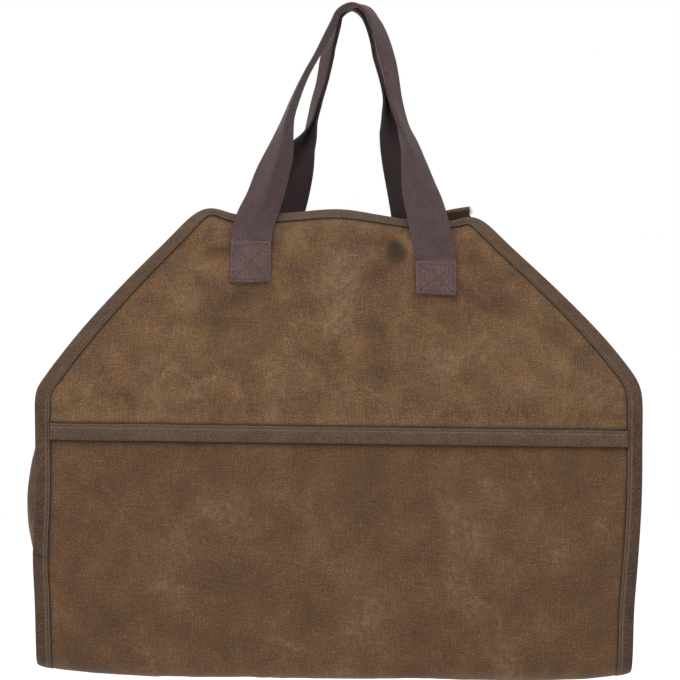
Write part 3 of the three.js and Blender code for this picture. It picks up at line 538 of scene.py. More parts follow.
# %% Finish: waxed canvas
def waxed_canvas(name, tint, cloudy, fleck):
    """The canvas, tinted, with its clouds and its pale specks as strong as asked."""
    material, shader = new_finish(
        name, Roughness=0.85, Specular_IOR_Level=0.25, Sheen_Weight=0.05, Sheen_Roughness=0.5)
    cut = add(material, "ShaderNodeUVMap", uv_map="cut")
    wear_and_painted_light = add(material, "ShaderNodeAttribute", attribute_name="wear_and_painted_light", out="Fac")
    seam = add(material, "ShaderNodeAttribute", attribute_name="seam", out="Fac")

    # The cloudy dye: hills of about 60 mm, then 20 mm
    moved = add(material, "ShaderNodeMapping", {"Vector": cut, "Location": (0.31, 0.17, 0)})
    clouds = add(material, "ShaderNodeTexNoise", {
        "Vector": moved, "Scale": 15, "Detail": 3, "Roughness": 0.55, "Distortion": 0.6},
        noise_dimensions="2D")
    dye = add(material, "ShaderNodeValToRGB", {"Fac": clouds}, stops=[
        (0.30, linear("#4a311f")), (0.46, linear("#503821")),
        (0.56, linear("#543e25")), (0.70, linear("#5b452a"))])
    blotches = add(material, "ShaderNodeTexNoise", {
        "Vector": cut, "Scale": 42, "Detail": 3, "Roughness": 0.6, "Distortion": 0.4},
        noise_dimensions="2D")
    patches = add(material, "ShaderNodeValToRGB", {"Fac": blotches}, stops=[
        (0.32, linear("#402d1e")), (0.5, linear("#503922")), (0.66, linear("#60472b"))])
    colour = add(material, "ShaderNodeMix", {0: 0.5, 6: dye, 7: patches},
                 data_type="RGBA", out=2)
    colour = add(material, "ShaderNodeMix", {
        0: 1 - cloudy, 6: colour, 7: linear("#513822")}, data_type="RGBA", out=2)
    # Times the tint; the sling's darker tint is painted shade.
    colour = add(material, "ShaderNodeMix", {
        0: 1.0, 6: colour, 7: [*tint, 1]},
        data_type="RGBA", blend_type="MULTIPLY", out=2)

    # Yarn both ways of the weave, and finer specks
    warp = add(material, "ShaderNodeMapping", {"Vector": cut, "Scale": (760, 62, 1)})
    weft = add(material, "ShaderNodeMapping", {"Vector": cut, "Scale": (70, 700, 1)})
    warp_yarn = add(material, "ShaderNodeTexNoise", {
        "Vector": warp, "Scale": 1.0, "Detail": 2, "Roughness": 0.6}, noise_dimensions="2D")
    weft_yarn = add(material, "ShaderNodeTexNoise", {
        "Vector": weft, "Scale": 1.0, "Detail": 2, "Roughness": 0.6}, noise_dimensions="2D")
    grain = add(material, "ShaderNodeTexNoise", {
        "Vector": cut, "Scale": 720, "Detail": 2, "Roughness": 0.6}, noise_dimensions="2D")
    yarn = add(material, "ShaderNodeMath", {0: warp_yarn, 1: weft_yarn}, operation="ADD")
    weave = add(material, "ShaderNodeMath", {0: yarn, 1: 0.3, 2: grain},
                operation="MULTIPLY_ADD")
    pale = add(material, "ShaderNodeMapRange", {
        "Value": weave, "From Min": 0.82, "From Max": 1.12, "To Min": 0.0, "To Max": 0.24 * fleck})
    dark = add(material, "ShaderNodeMapRange", {
        "Value": weave, "From Min": 0.8, "From Max": 0.5, "To Min": 0.0, "To Max": 0.6 * fleck})
    colour = add(material, "ShaderNodeMix", {0: pale, 6: colour, 7: linear("#9a8872")},
                 data_type="RGBA", out=2)
    colour = add(material, "ShaderNodeMix", {0: dark, 6: colour, 7: linear("#17120f")},
                 data_type="RGBA", out=2)

    # Rubbed high places are paler, and so are the painted highlights; hollows, dents and the
    # lines beside the tape are painted shade
    high = add(material, "ShaderNodeMapRange", {
        "Value": wear_and_painted_light, "From Min": 0.5, "From Max": 0.9, "To Min": 0.0, "To Max": 0.36})
    # Painted shade: hollows and dents, where the number falls below 0.45, are darkened.
    low = add(material, "ShaderNodeMapRange", {
        "Value": wear_and_painted_light, "From Min": 0.45, "From Max": 0.0, "To Min": 0.0, "To Max": 0.55})
    rub = add(material, "ShaderNodeTexNoise", {
        "Vector": cut, "Scale": 160, "Detail": 4, "Roughness": 0.7}, noise_dimensions="2D")
    broken = add(material, "ShaderNodeMapRange", {
        "Value": rub, "From Min": 0.4, "From Max": 0.7, "To Min": 0.15, "To Max": 1.0})
    rub_and_painted_light = add(material, "ShaderNodeMath", {0: high, 1: broken}, operation="MULTIPLY")
    # Painted shade beside the tapes, under the lapped edges and in the deepest dents.
    groove = add(material, "ShaderNodeMath", {0: seam, 1: 0.85}, operation="MULTIPLY")
    for share, tone in ((rub_and_painted_light, "#86705a"), (low, "#281a10"), (groove, "#1a110a")):
        colour = add(material, "ShaderNodeMix", {0: share, 6: colour, 7: linear(tone)},
                     data_type="RGBA", out=2)
    normal = add(material, "ShaderNodeBump", {
        "Height": weave, "Strength": 0.6, "Distance": 0.0004})
    material.node_tree.links.new(colour, shader.inputs["Base Color"])
    material.node_tree.links.new(normal, shader.inputs["Normal"])
    return material


CANVAS_FINISH = waxed_canvas("waxed_cotton_canvas", (1, 0.93, 0.87), 1.0, 1.0)
# The sling's darker tint is painted shade: its walls face the light from above less than the upper
# panels.
SLING_SHADED_FINISH = waxed_canvas("waxed_cotton_canvas_sling_shade", (0.84, 0.75, 0.64), 0.5, 0.8)

# %% [markdown]
# ### Twill tape, webbing and thread
# The binding is woven cotton tape, greyer than the canvas, with a fine slanting twill that
# shows as an uneven fleck, and rubbed pale along its raised inner edge. Its stitch line is
# painted darker as shade; the tape above the cross seams and the two cross strips are painted
# paler, as light that falls on them more than on the side tapes. The handles are heavy cotton
# webbing of a purple-brown, whose lengthwise cords make ribs about 1.9 mm apart. Their free
# length is darker than their sewn ends, and the faces that turn inwards in the folds are
# painted darker still, as shade. The thread is plain spun polyester, a shade darker than what
# it sews.

# %% Finish: binding tape, webbing and thread
def woven_finish(name, colours, cord_pitch, cord_share, fleck, depth, marks):
    """A woven narrow fabric. Its colours are the dark and light of its cloud, and its fleck."""
    material, shader = new_finish(
        name, Roughness=0.9, Specular_IOR_Level=0.25, Sheen_Weight=0.04, Sheen_Roughness=0.5)
    cut = add(material, "ShaderNodeUVMap", uv_map="cut")
    cloud = add(material, "ShaderNodeTexNoise", {
        "Vector": cut, "Scale": 70, "Detail": 4, "Roughness": 0.65}, noise_dimensions="2D")
    colour = add(material, "ShaderNodeValToRGB", {"Fac": cloud}, stops=[
        (0.34, linear(colours[0])), (0.68, linear(colours[1]))])
    cords = add(material, "ShaderNodeTexWave", {
        "Vector": cut, "Scale": 1 / cord_pitch / 3.1831, "Distortion": 1.2,
        "Detail": 1, "Detail Scale": 1.5}, out="Fac", wave_type="BANDS", bands_direction="X")
    turned = add(material, "ShaderNodeMapping", {
        "Vector": cut, "Rotation": (0, 0, math.radians(32)), "Scale": (800, 480, 1)})
    flecks = add(material, "ShaderNodeTexNoise", {
        "Vector": turned, "Scale": 1.0, "Detail": 2, "Roughness": 0.7}, noise_dimensions="2D")
    weave = add(material, "ShaderNodeMath", {
        0: cords, 1: cord_share, 2: flecks}, operation="MULTIPLY_ADD")
    middle = 0.5 + cord_share / 2
    pale = add(material, "ShaderNodeMapRange", {
        "Value": weave, "From Min": middle, "From Max": middle + 0.4,
        "To Min": 0.0, "To Max": fleck})
    dark = add(material, "ShaderNodeMapRange", {
        "Value": weave, "From Min": middle, "From Max": middle - 0.4,
        "To Min": 0.0, "To Max": 1.5 * fleck})
    layers = [(pale, colours[2]), (dark, "#14100e")]
    for attribute, strength, tone in marks:
        marked = add(material, "ShaderNodeAttribute", attribute_name=attribute, out="Fac")
        layers.append((add(material, "ShaderNodeMath", {0: marked, 1: strength},
                           operation="MULTIPLY"), tone))
    for share, tone in layers:
        colour = add(material, "ShaderNodeMix", {0: share, 6: colour, 7: linear(tone)},
                     data_type="RGBA", out=2)
    normal = add(material, "ShaderNodeBump", {
        "Height": weave, "Strength": 0.6, "Distance": depth})
    material.node_tree.links.new(colour, shader.inputs["Base Color"])
    material.node_tree.links.new(normal, shader.inputs["Normal"])
    return material


# Rubbed pale at the raised inner edge; painted paler as light above the cross seams and on the
# cross strips; painted shade in the stitch line.
TAPE_FINISH = woven_finish(
    "twill_binding_tape", ("#2f2017", "#3e2b1e", "#836f58"), 2.2 * MM, 0.0, 0.38, 0.0003,
    (("rub_and_painted_light", 0.28, "#7b6851"), ("seam", 0.36, "#20160f")))
# The free length is darker than the sewn ends; the inner faces of the folds are painted shade.
WEBBING_FINISH = woven_finish(
    "heavy_cotton_webbing", ("#402f2f", "#4b3a39", "#8a7a6e"), 1.9 * MM, 0.36, 0.27, 0.0004,
    (("free_length", 0.46, "#2c1f1f"), ("inside", 0.68, "#281f20")))
THREAD_FINISH = new_finish(
    "spun_sewing_thread", Base_Color=linear("#30241b"), Roughness=0.75, Sheen_Weight=0.1)[0]
PATCH_THREAD = new_finish(
    "webbing_sewing_thread", Base_Color=linear("#211819"), Roughness=0.75, Sheen_Weight=0.1)[0]

# %% [markdown]
# ## Upper panels
# Each upper panel is cut as a trapezium. Its sides and top are bound, and its bound lower
# edge laps over the sling and is sewn down there, so the panel steps outwards by the
# thickness of the sling just above the seam. The cloth stops just inside the fold of the
# tape all round, as it does on the real one, and lies calm close to it.

# %% Panels: the two upper ones
CUT_INSET, CALM = 1.6 * MM, 28 * MM
CORNER_CUT = 11 * MM
NARROWING, NARROW_REACH = 0.4, 24 * MM


def patch_mask(x, y, rear):
    """1 where the cloth is free, and 0 where a handle's end is sewn flat on it."""
    free = np.ones_like(x)
    for place, drop, length in REAR_ENDS if rear else FRONT_ENDS:
        beside = np.abs(x - place) - WEBBING_WIDTH / 2
        below = np.abs(y - drop - length / 2) - length / 2
        free = free * smooth(np.maximum(beside, below), 0.001, 0.016)
    return free


def lap_proud(x, seed):
    """How far the lapped lower edge stands off, a little uneven along its length."""
    return 0.7 * MM + 0.6 * MM * hills(x, 0 * x, 0.07, seed)


def top_tape_share(from_end, rear):
    """The front's top tape is narrower towards the corners, where it was pulled round."""
    near = np.exp(-((np.maximum(from_end, 0) / NARROW_REACH) ** 2))
    return 1 - (0 if rear else NARROWING) * near


def upper_panel(name, node, rear, seed):
    columns, rows = 216, 104
    piece, c, r = cut_cloth(name, columns, rows)
    v = blend(0.006, LAP_END - 0.004, finer_ends(r / rows, 0.5))
    rounding = np.clip(1 - length_at(v) / CORNER_CUT, 0, 1)
    inset = (CUT_INSET + CORNER_CUT * (1 - np.sqrt(1 - rounding**2))) / width_at(v)
    inside_left, inside_right = band_share(v, 0), 1 - band_share(v, 1)
    lap = smooth(v, LAP_START, SEAM - HAIR)
    tucked = 1.2 * MM / width_at(v)
    left = np.where(v > SEAM - 6 * HAIR, inside_left + tucked, inset)
    right = np.where(v > SEAM - 6 * HAIR, inside_right - tucked, 1 - inset)
    s = blend(left, right, finer_ends(c / columns, 0.6))
    x, y = across_at(s, v), length_at(v)
    edge_left = (s - inside_left) * width_at(v)
    edge_right = (inside_right - s) * width_at(v)
    beside = np.minimum(edge_left, edge_right)
    below = y - TOP_TAPE_WIDTH * top_tape_share(beside - 3 * MM, rear)
    lap = lap * np.where(v < SEAM - HAIR, smooth(beside, 0, 3 * MM), 1)
    above = (LAP_START - v) * UPPER_HEIGHT
    mask = smooth(beside, 0, CALM) * smooth(below, 0, 0.022) * smooth(above, 0, 0.02)
    mask = mask * patch_mask(x, y, rear)
    relief = soft_relief(x, y, seed) * mask
    ripple = puckers(y, beside, seed + 20) + puckers(x, below, seed + 30)
    ripple = ripple + puckers(x, (LAP_START + 0.02 - v) * UPPER_HEIGHT, seed + 40)
    ripple = ripple * patch_mask(x, y, rear) * (beside > 0) * (below > 0)
    lift = relief + ripple + lap * (LAP_OUT + lap_proud(x, seed + 50) * smooth(v, SEAM, LAP_END))
    station = REAR_TOP - v if rear else v
    carry(piece, lifted(s, station, lift), np.stack([x, y], -1))
    small = 0.3 * MM * hills(x, y, 0.03, seed + 5) + relief * 0.18 + ripple * 1.5
    # High places and creases go up, as rubbed wear; hollows go down, to be painted as shade.
    wear_and_painted_light = 0.5 + small / (1.2 * MM) + 0.3 * creases(x, y, seed + 7) * mask
    if not rear:
        # Painted shade in the front's deep dents, painted highlight on its bulges.
        wear_and_painted_light = wear_and_painted_light - np.clip(fold_depth(s, v) - 3.3 * MM, 0, 1) / (5 * MM)
        wear_and_painted_light = wear_and_painted_light + np.clip(-fold_depth(s, v) - 2 * MM, 0, 1) / (6 * MM)
    mark(piece, "wear_and_painted_light", np.clip(wear_and_painted_light, 0, 1))
    # Painted shade in the deepest dents and along the tapes and the lapped lower edge.
    close = np.minimum(np.minimum(beside, below), np.abs(SEAM - 0.004 - v) * UPPER_HEIGHT)
    dent_shade = 0 if rear else 0.52 * smooth(fold_depth(s, v), 5 * MM, 9 * MM)
    mark(piece, "seam", np.maximum(dent_shade, np.exp(-((np.clip(close, 0, 1) / (2 * MM)) ** 2))))
    thicken(piece, CANVAS)
    dress(piece, node, CANVAS_FINISH)
    return piece


front_panel = upper_panel("front_upper_panel_cloth", "front_upper_panel", False, 100)
rear_panel = upper_panel("rear_upper_panel_cloth", "rear_upper_panel", True, 300)

# %% [markdown]
# ## The sling
# The load is carried by one long rectangle of canvas that goes down the front, under the
# logs and up the back. It starts just under each cross seam, hidden by the lapped edge.

# %% Panels: the sling
def sling(name, seed):
    columns, rows = 200, 216
    piece, c, r = cut_cloth(name, columns, rows)
    first, last = length_at(SEAM + 2 * HAIR), length_at(REAR_TOP - SEAM - 2 * HAIR)
    y = blend(first, last, finer_ends(r / rows, 0.4))
    v = station_at(y)
    inset = CUT_INSET / width_at(v)
    s = blend(inset, 1 - inset, finer_ends(c / columns, 0.6))
    x = across_at(s, v)
    edge_left = (s - band_share(v, 0)) * width_at(v)
    edge_right = (1 - band_share(v, 1) - s) * width_at(v)
    beside = np.minimum(edge_left, edge_right)
    under_lap = length_at(LAP_END)
    away = np.minimum(y - under_lap, CLOTH_LENGTH[-1] - under_lap - y)
    mask = smooth(beside, 0, CALM) * smooth(away, 0.002, 0.03)
    relief = soft_relief(x, y, seed) * mask
    ripple = puckers(y, beside, seed + 20) * (beside > 0) * smooth(away, 0, 0.02)
    carry(piece, lifted(s, v, relief + ripple), np.stack([x, y], -1))
    small = 0.25 * MM * hills(x, y, 0.03, seed + 5) + relief * 0.25 + ripple * 1.5
    wear_and_painted_light = 0.45 + small / (1.2 * MM) + 0.2 * creases(x, y, seed + 7) * mask
    # Painted shade in the dents that reach down from the front panel.
    wear_and_painted_light = wear_and_painted_light - np.where(v < CORNER, np.clip(fold_depth(s, v) - 2 * MM, 0, 1) / (6 * MM), 0)
    mark(piece, "wear_and_painted_light", np.clip(wear_and_painted_light, 0, 1))
    # Painted shade beside the side tapes and painted shadow under the lapped edge.
    close = np.minimum(np.clip(beside, 0, 1) / 2, np.clip(away + 0.001, 0, 1) / 3.4)
    mark(piece, "seam", np.exp(-((close / MM) ** 2)))
    thicken(piece, CANVAS)
    dress(piece, "body_sling", SLING_SHADED_FINISH)
    return piece


body_sling = sling("sling_cloth", 500)

# %% [markdown]
# ## End panels
# Each end is closed by a panel of its own, sewn edge to edge with the sling, so it has a
# flange that lies inside the side tape all round. Empty, the panel has nowhere to stand: its
# middle folds inwards, as on a paper bag, and the left one also rolls out past the tape,
# where the photograph shows a bright rounded edge. Its top edge is hemmed.

# %% Panels: the two folded ends
FLANGE_STEPS, END_STEPS, HEM_STEPS = 5, 66, 5
HEM = 11 * MM
END_SHARPNESS, ROLL_WIDTH, ROLL_MIDDLE, ROLL_SPREAD = 0.6, 0.42, 0.71, 0.43


def end_seam(side, v, run):
    """The end panel's seam: `run` metres out along its flange from the turn."""
    band, width = band_share(v, side), width_at(v)
    clear = GAP + CANVAS / 2
    turn = np.clip(1 - run / (1.5 * END_TURN), 0, 1)
    inset = clear + END_TURN * turn**1.5 - np.clip(run - 1.5 * END_TURN, 0, 1)
    share = band + inset / width
    s = np.clip(np.where(side == 0, share, 1 - share), 0.002, 0.998)
    return lifted(s, v, -LAYER - END_TURN * turn)


def end_panel_place(side, u, w, roll):
    """A place on an end panel: u across from the front seam to the rear one, w its station."""
    outward = -1 if side == 0 else 1
    front, rear = end_seam(side, w, 0 * w), end_seam(side, REAR_TOP - w, 0 * w)
    point = blend(front, rear, u[..., None])
    under = end_seam(side, FLOOR + 2 * u, 0 * u)
    chord_end = blend(
        end_seam(side, FLOOR + 0 * u, 0 * u), end_seam(side, REAR_TOP - FLOOR + 0 * u, 0 * u),
        u[..., None])
    point = point + (under - chord_end) * smooth(w, CORNER - 0.1, FLOOR)[..., None]
    low = CORNER - w
    chord = np.linalg.norm(front - rear, axis=-1)
    depth = np.sqrt(np.maximum(BAG_DEPTH**2 / 4 - chord**2 / 4, 0))
    fold = 1 - np.abs(2 * u - 1)
    soft = fold * fold * (1 + END_SHARPNESS * (1 - fold))
    rolled = np.sin(np.pi * np.minimum(u / ROLL_WIDTH, 1)) ** 2
    height = smooth(low, 0, 0.34) * np.exp(-(((low - ROLL_MIDDLE) / ROLL_SPREAD) ** 2))
    bulge = roll * rolled * height - depth * smooth(low, 0, END_FADE) * soft
    point[..., 0] += outward * bulge
    return point


def end_panel(name, node, side, roll, seed):
    columns = END_STEPS + 2 * FLANGE_STEPS
    rows = HEM_STEPS + END_STEPS + FLANGE_STEPS
    piece, c, r = cut_cloth(name, columns, rows)
    flange_run = np.linspace(TAPE_WIDTH, 0, FLANGE_STEPS + 1)
    across = np.concatenate([
        -flange_run[:-1], np.linspace(0, BAG_DEPTH, END_STEPS + 1),
        BAG_DEPTH + flange_run[::-1][1:]])
    tall = length_at(FLOOR) - length_at(END_TOP)
    down = np.concatenate([
        -np.linspace(HEM, 0, HEM_STEPS + 1)[:-1], np.linspace(0, tall, END_STEPS + 1),
        tall + flange_run[::-1][1:]])
    p, q = across[c], down[r]
    start = length_at(END_TOP)
    w = station_at(start + np.clip(np.abs(q), 0, tall))
    u = np.clip(p / BAG_DEPTH, 0, 1)
    place = end_panel_place(side, u, w, roll)
    step = 0.004
    along = end_panel_place(side, np.clip(u + step, 0, 1), w, roll) - end_panel_place(
        side, np.clip(u - step, 0, 1), w, roll)
    fall = end_panel_place(side, u, np.clip(w + step, END_TOP, FLOOR), roll) - end_panel_place(
        side, u, np.clip(w - step, END_TOP, FLOOR), roll)
    normal = unit(np.cross(along, fall))
    normal = normal * np.sign(normal[:, 0].sum() * (-1 if side == 0 else 1))
    inside = (p >= 0) & (p <= BAG_DEPTH) & (q <= tall)
    beside = np.minimum(p, BAG_DEPTH - p)
    rim = np.minimum(beside, tall - q)
    mask = np.where(inside, smooth(rim, 0.001, 0.03), 0) * smooth(q, 0.004, 0.03)
    ripple = puckers(q, beside, seed + 20) * inside * smooth(q, 0.004, 0.02)
    relief = soft_relief(p, q, seed) * mask + ripple
    hem = np.where(q < 0, -(CANVAS + GAP) * smooth(-q, 0, 0.0022), 0)
    place = place + normal * (relief + hem)[:, None]
    lower_flange = q > tall
    run = np.where(lower_flange, q - tall, np.where(p < 0, -p, p - BAG_DEPTH))
    seam_station = np.where(lower_flange, FLOOR + 2 * u, np.where(p < 0, w, REAR_TOP - w))
    flange = end_seam(side, seam_station, np.maximum(run, 0))
    place = np.where(inside[:, None], place, flange)
    carry(piece, place, np.stack([p, q], -1))
    wear_and_painted_light = 0.45 + relief / (1.1 * MM)
    wear_and_painted_light = wear_and_painted_light + inside * 0.5 * np.exp(-np.abs(u - 0.5) * BAG_DEPTH / 0.004)
    # Painted highlight along the outer line of the left end's roll.
    wear_and_painted_light = wear_and_painted_light + (side == 0) * 0.35 * np.exp(-(((u - ROLL_WIDTH / 2) / 0.1) ** 2))
    mark(piece, "wear_and_painted_light", np.clip(wear_and_painted_light, 0, 1))
    # Painted shade along the rim, beside the tape.
    mark(piece, "seam", np.where(inside, np.exp(-np.clip(rim, 0, 1) / (1.6 * MM)), 1))
    drop_cells(piece, lambda a, b: ((a < 0) | (a > BAG_DEPTH)) & ((b > tall) | (b < 0)))
    thicken(piece, CANVAS)
    dress(piece, node, CANVAS_FINISH)
    return piece


left_end = end_panel("left_gusset_cloth", "left_gusset", 0, LEFT_ROLL, 700)
right_end = end_panel("right_gusset_cloth", "right_gusset", 1, RIGHT_ROLL, 800)

# %% [markdown]
# ## Binding tape
# Every cut edge is bound: the tape is folded lengthwise over the edge and sewn through all
# the layers 2 mm from its inner edge. So its section is a flat front, a tight round fold and
# a flat back, with a groove where the stitches pull it in and a slightly filled body beyond.
# It goes round the corners in one piece. It's laid as a flat strip along two guide lines, the
# cloth's edge and the tape's own inner edge, each smoothed so that the strip turns the top
# corners in a curve.

# %% Tape folded over an edge
TAPE_COLUMNS, TAPE_STEP = 30, 2.4 * MM
STITCH_IN = 2.0 * MM
FOLD_SHARE = 0.09  # the share of the tape, each side of its middle, that makes the round fold


def tape_path(edge_s, edge_v, inner_s, inner_v, lift, back, even, proud=0.0, over=0.0):
    """The guide lines of a bound edge, spaced evenly and smoothed."""
    edge, inner = lifted(edge_s, edge_v, lift + proud), lifted(inner_s, inner_v, lift)
    normal_e, normal_i = cloth_normal(edge_s, edge_v), cloth_normal(inner_s, inner_v)
    middle = (edge + inner) / 2
    steps = np.linalg.norm(np.diff(middle, axis=0), axis=1)
    steps = np.maximum(steps, np.linalg.norm(np.diff(edge, axis=0), axis=1) * 0.6)
    run = np.concatenate([[0], np.cumsum(steps)])
    count = max(int(run[-1] / TAPE_STEP), 8)
    at = np.linspace(0, run[-1], count + 1)
    one = np.ones(len(run))
    columns = np.column_stack([edge, inner, normal_e, normal_i, back * one, over * one])
    columns = np.column_stack([np.interp(at, run, line) for line in columns.T])
    width = max(int(3 * even / TAPE_STEP), 1)
    reach = np.arange(-width, width + 1)
    weights = np.exp(-0.5 * (reach * TAPE_STEP / even) ** 2)
    weights /= weights.sum()
    before = 2 * columns[:1] - columns[width:0:-1]
    after = 2 * columns[-1:] - columns[-2:-width - 2:-1]
    padded = np.concatenate([before, columns, after])
    soft = np.column_stack([np.convolve(line, weights, "valid") for line in padded.T])
    return {
        "run": at, "edge": soft[:, 0:3], "inner": soft[:, 3:6],
        "normal_e": unit(soft[:, 6:9]), "normal_i": unit(soft[:, 9:12]),
        "back": soft[:, 12], "over": soft[:, 13]}


def tape_place(path, row, q, seed):
    """A place on the tape: q is 0 at the front inner edge and 1 at the rear inner edge."""
    edge, inner = path["edge"][row], path["inner"][row]
    out = unit(edge - inner)
    wide = np.linalg.norm(edge - inner, axis=-1)
    run = path["run"][row]
    front_high = TAPE_SEAT + TAPE / 2 + path["over"][row]
    back_low = path["back"][row] + TAPE / 2 + path["over"][row]
    radius, centre = (front_high + back_low) / 2, (front_high - back_low) / 2
    in_fold = np.abs(q - 0.5) < FOLD_SHARE
    flat = np.clip(np.where(q < 0.5, q, 1 - q) / (0.5 - FOLD_SHARE), 0, 1)
    angle = np.pi / 2 * (1 - np.clip((q - (0.5 - FOLD_SHARE)) / FOLD_SHARE, 0, 2))
    beyond = (GAP + TAPE / 2) * np.where(in_fold, np.cos(angle), 0)
    ragged = 0.35 * MM * hills(run, 0 * run, 0.021, seed)
    from_inner = flat * wide - ragged * (1 - flat)
    groove = np.exp(-(((from_inner - STITCH_IN) / (0.9 * MM)) ** 2))
    body = np.sin(np.pi * np.clip((from_inner - STITCH_IN) / (wide - STITCH_IN), 0, 1))
    loose = 0.16 * MM * hills(run, 0 * run, 0.008, seed + 1)
    puff = -0.28 * MM * groove + 0.42 * MM * body + loose * (flat < 0.9) * (flat > 0.02)
    side = np.where(q < 0.5, 1.0, -1.0)
    height = np.where(
        in_fold, centre + radius * np.sin(angle),
        np.where(q < 0.5, front_high, -back_low) + side * puff)
    normal = unit(blend(path["normal_i"][row], path["normal_e"][row], flat[..., None]))
    base = inner + out * (from_inner + beyond)[..., None]
    return base + normal * height[..., None]


def bind(name, node, path, seed, painted_light_share=0.0):
    rows = len(path["run"]) - 1
    piece, c, r = cut_cloth(name, TAPE_COLUMNS, rows)
    q = c / TAPE_COLUMNS
    q = 0.5 + np.sign(q - 0.5) * (np.abs(2 * q - 1) ** 0.8) / 2
    flat_width = 2 * TAPE_WIDTH + 4 * MM
    carry(piece, tape_place(path, r, q, seed), np.stack([q * flat_width, path["run"][r]], -1))
    from_inner = np.where(q < 0.5, q, 1 - q) * TAPE_WIDTH / (0.5 - FOLD_SHARE)
    near = np.abs(from_inner - STITCH_IN)
    # Painted shade in the groove of the stitch line.
    mark(piece, "seam", 0.8 * np.exp(-near / (0.6 * MM)))
    ridge = np.exp(-(((near - STITCH_IN + 0.5 * MM) / (0.7 * MM)) ** 2))
    # Painted light: paler above the cross seam, where more light falls from above, and by the
    # share given for the cross strips; the ridge at the inner edge is rubbed wear.
    high = 0.35 * smooth(path["edge"][r][:, 2], SEAM_LEVEL, SEAM_LEVEL + 0.06)
    mark(piece, "rub_and_painted_light", np.maximum(ridge, high + painted_light_share))
    thicken(piece, TAPE, 0.25 * MM)
    dress(piece, node, TAPE_FINISH)
    return piece


def side_line(side, first, last):
    """Guide numbers of a side edge between two stations, evenly spaced along the cloth."""
    v = station_at(np.linspace(length_at(first), length_at(last), 400))
    share = band_share(v, side)
    w = front_station(v)
    back = TAPE_SEAT + LAYER * smooth(w, END_TOP - 0.05, END_TOP + 0.01)
    return np.stack([
        0 * v + side, v, share if side == 0 else 1 - share, v, back], -1)


def top_line(rear):
    """Guide numbers of a top edge, from left to right."""
    edge, inner = (REAR_TOP, REAR_TOP - LIP) if rear else (0, LIP)
    t = np.linspace(0, 1, 300)
    ends = []
    for v in (edge, inner):
        clear = 0.003 / width_at(v)
        ends.append((band_share(v, 0) + clear, 1 - band_share(v, 1) - clear))
    narrow = top_tape_share(np.minimum(t, 1 - t) * TOP_WIDTH, rear)
    return np.stack([
        blend(ends[0][0], ends[0][1], t), 0 * t + edge,
        blend(ends[1][0], ends[1][1], t), edge + (inner - edge) * narrow,
        0 * t + TAPE_SEAT], -1)


def corner_line(side, rear):
    """Guide numbers round a top corner, from the side to the top edge."""
    at = (lambda v: REAR_TOP - v) if rear else (lambda v: v)
    side_of = (lambda share: share) if side == 0 else (lambda share: 1 - share)
    def inner_share(v, more=0.0):
        return side_of(band_share(at(v), side) + more / width_at(at(v)))
    top = top_line(rear)[0 if side == 0 else -1]
    in_from_side = side_of(0.28 * band_share(at(0), side))
    knots = np.array([
        [side, at(EASED), inner_share(EASED), at(EASED)],
        [side, at(0.75 * LIP), inner_share(0.9 * LIP, -0.001), at(0.9 * LIP)],
        [in_from_side, at(0.12 * LIP), inner_share(0.7 * LIP, 0.001), at(0.66 * LIP)],
        [side_of(band_share(at(0), side)), at(0), inner_share(0.7 * LIP, 0.006), at(0.6 * LIP)],
        top[:4]])
    t = np.linspace(0, len(knots) - 1, 60)[1:-1]
    lines = [np.interp(t, np.arange(len(knots)), line) for line in knots.T]
    return np.column_stack(lines + [0 * t + TAPE_SEAT])


def guided(lines, over):
    """The path of a length of tape along guide numbers, smoothed over 5 mm."""
    numbers = np.concatenate(lines)
    return tape_path(
        *numbers[:, :4].T, 0.0 * numbers[:, 0], numbers[:, 4], over=over, even=5 * MM)


# %% [markdown]
# The front length starts at the joint on the left side, goes up, over the front top edge,
# down the right side, under the end and up the rear right to the corner. The rear length
# has a raw cut end there, goes over the rear top edge and down the left side to the joint,
# where the front length is sewn on over it for some 14 mm.

# %% The two lengths of edge binding
front_numbers = [
    side_line(0, JOINT + 0.07, EASED), corner_line(0, False), top_line(False),
    corner_line(1, False)[::-1], side_line(1, EASED, REAR_TOP - EASED)]
front_count = sum(len(part) for part in front_numbers)
OVERLAP = 1.15 * MM  # how far the free end of a length lies above the length under it
overlap = OVERLAP * (1 - smooth(np.arange(front_count) / 400, 0.10, 0.16))
front_path = guided(front_numbers, overlap)
RAW_POINTS = 40  # guide points of the raw end, which rises past the right top corner
raw_end = np.linspace([1, REAR_TOP, 0.985, REAR_TOP - LIP], top_line(True)[-1, :4], RAW_POINTS)
rear_numbers = [
    np.column_stack([raw_end, np.full(RAW_POINTS, TAPE_SEAT)]), top_line(True)[::-1],
    corner_line(0, True)[::-1], side_line(0, REAR_TOP - EASED, JOINT + 2 * HAIR)]
rear_count = sum(len(part) for part in rear_numbers)
rear_overlap = OVERLAP * (1 - smooth(np.arange(rear_count), RAW_POINTS, RAW_POINTS + 30))
rear_path = guided(rear_numbers, rear_overlap)
edge_front = bind("edge_binding_front_tape", "edge_binding_front", front_path, 21)
edge_rear = bind("edge_binding_rear_tape", "edge_binding_rear", rear_path, 22)

# %% [markdown]
# It is what makes the strip
# across the bag: its front face shows whole, its folded edge points down and stands a little
# off the sling, which casts the dark line under it, deepened by painted shadow on the sling.

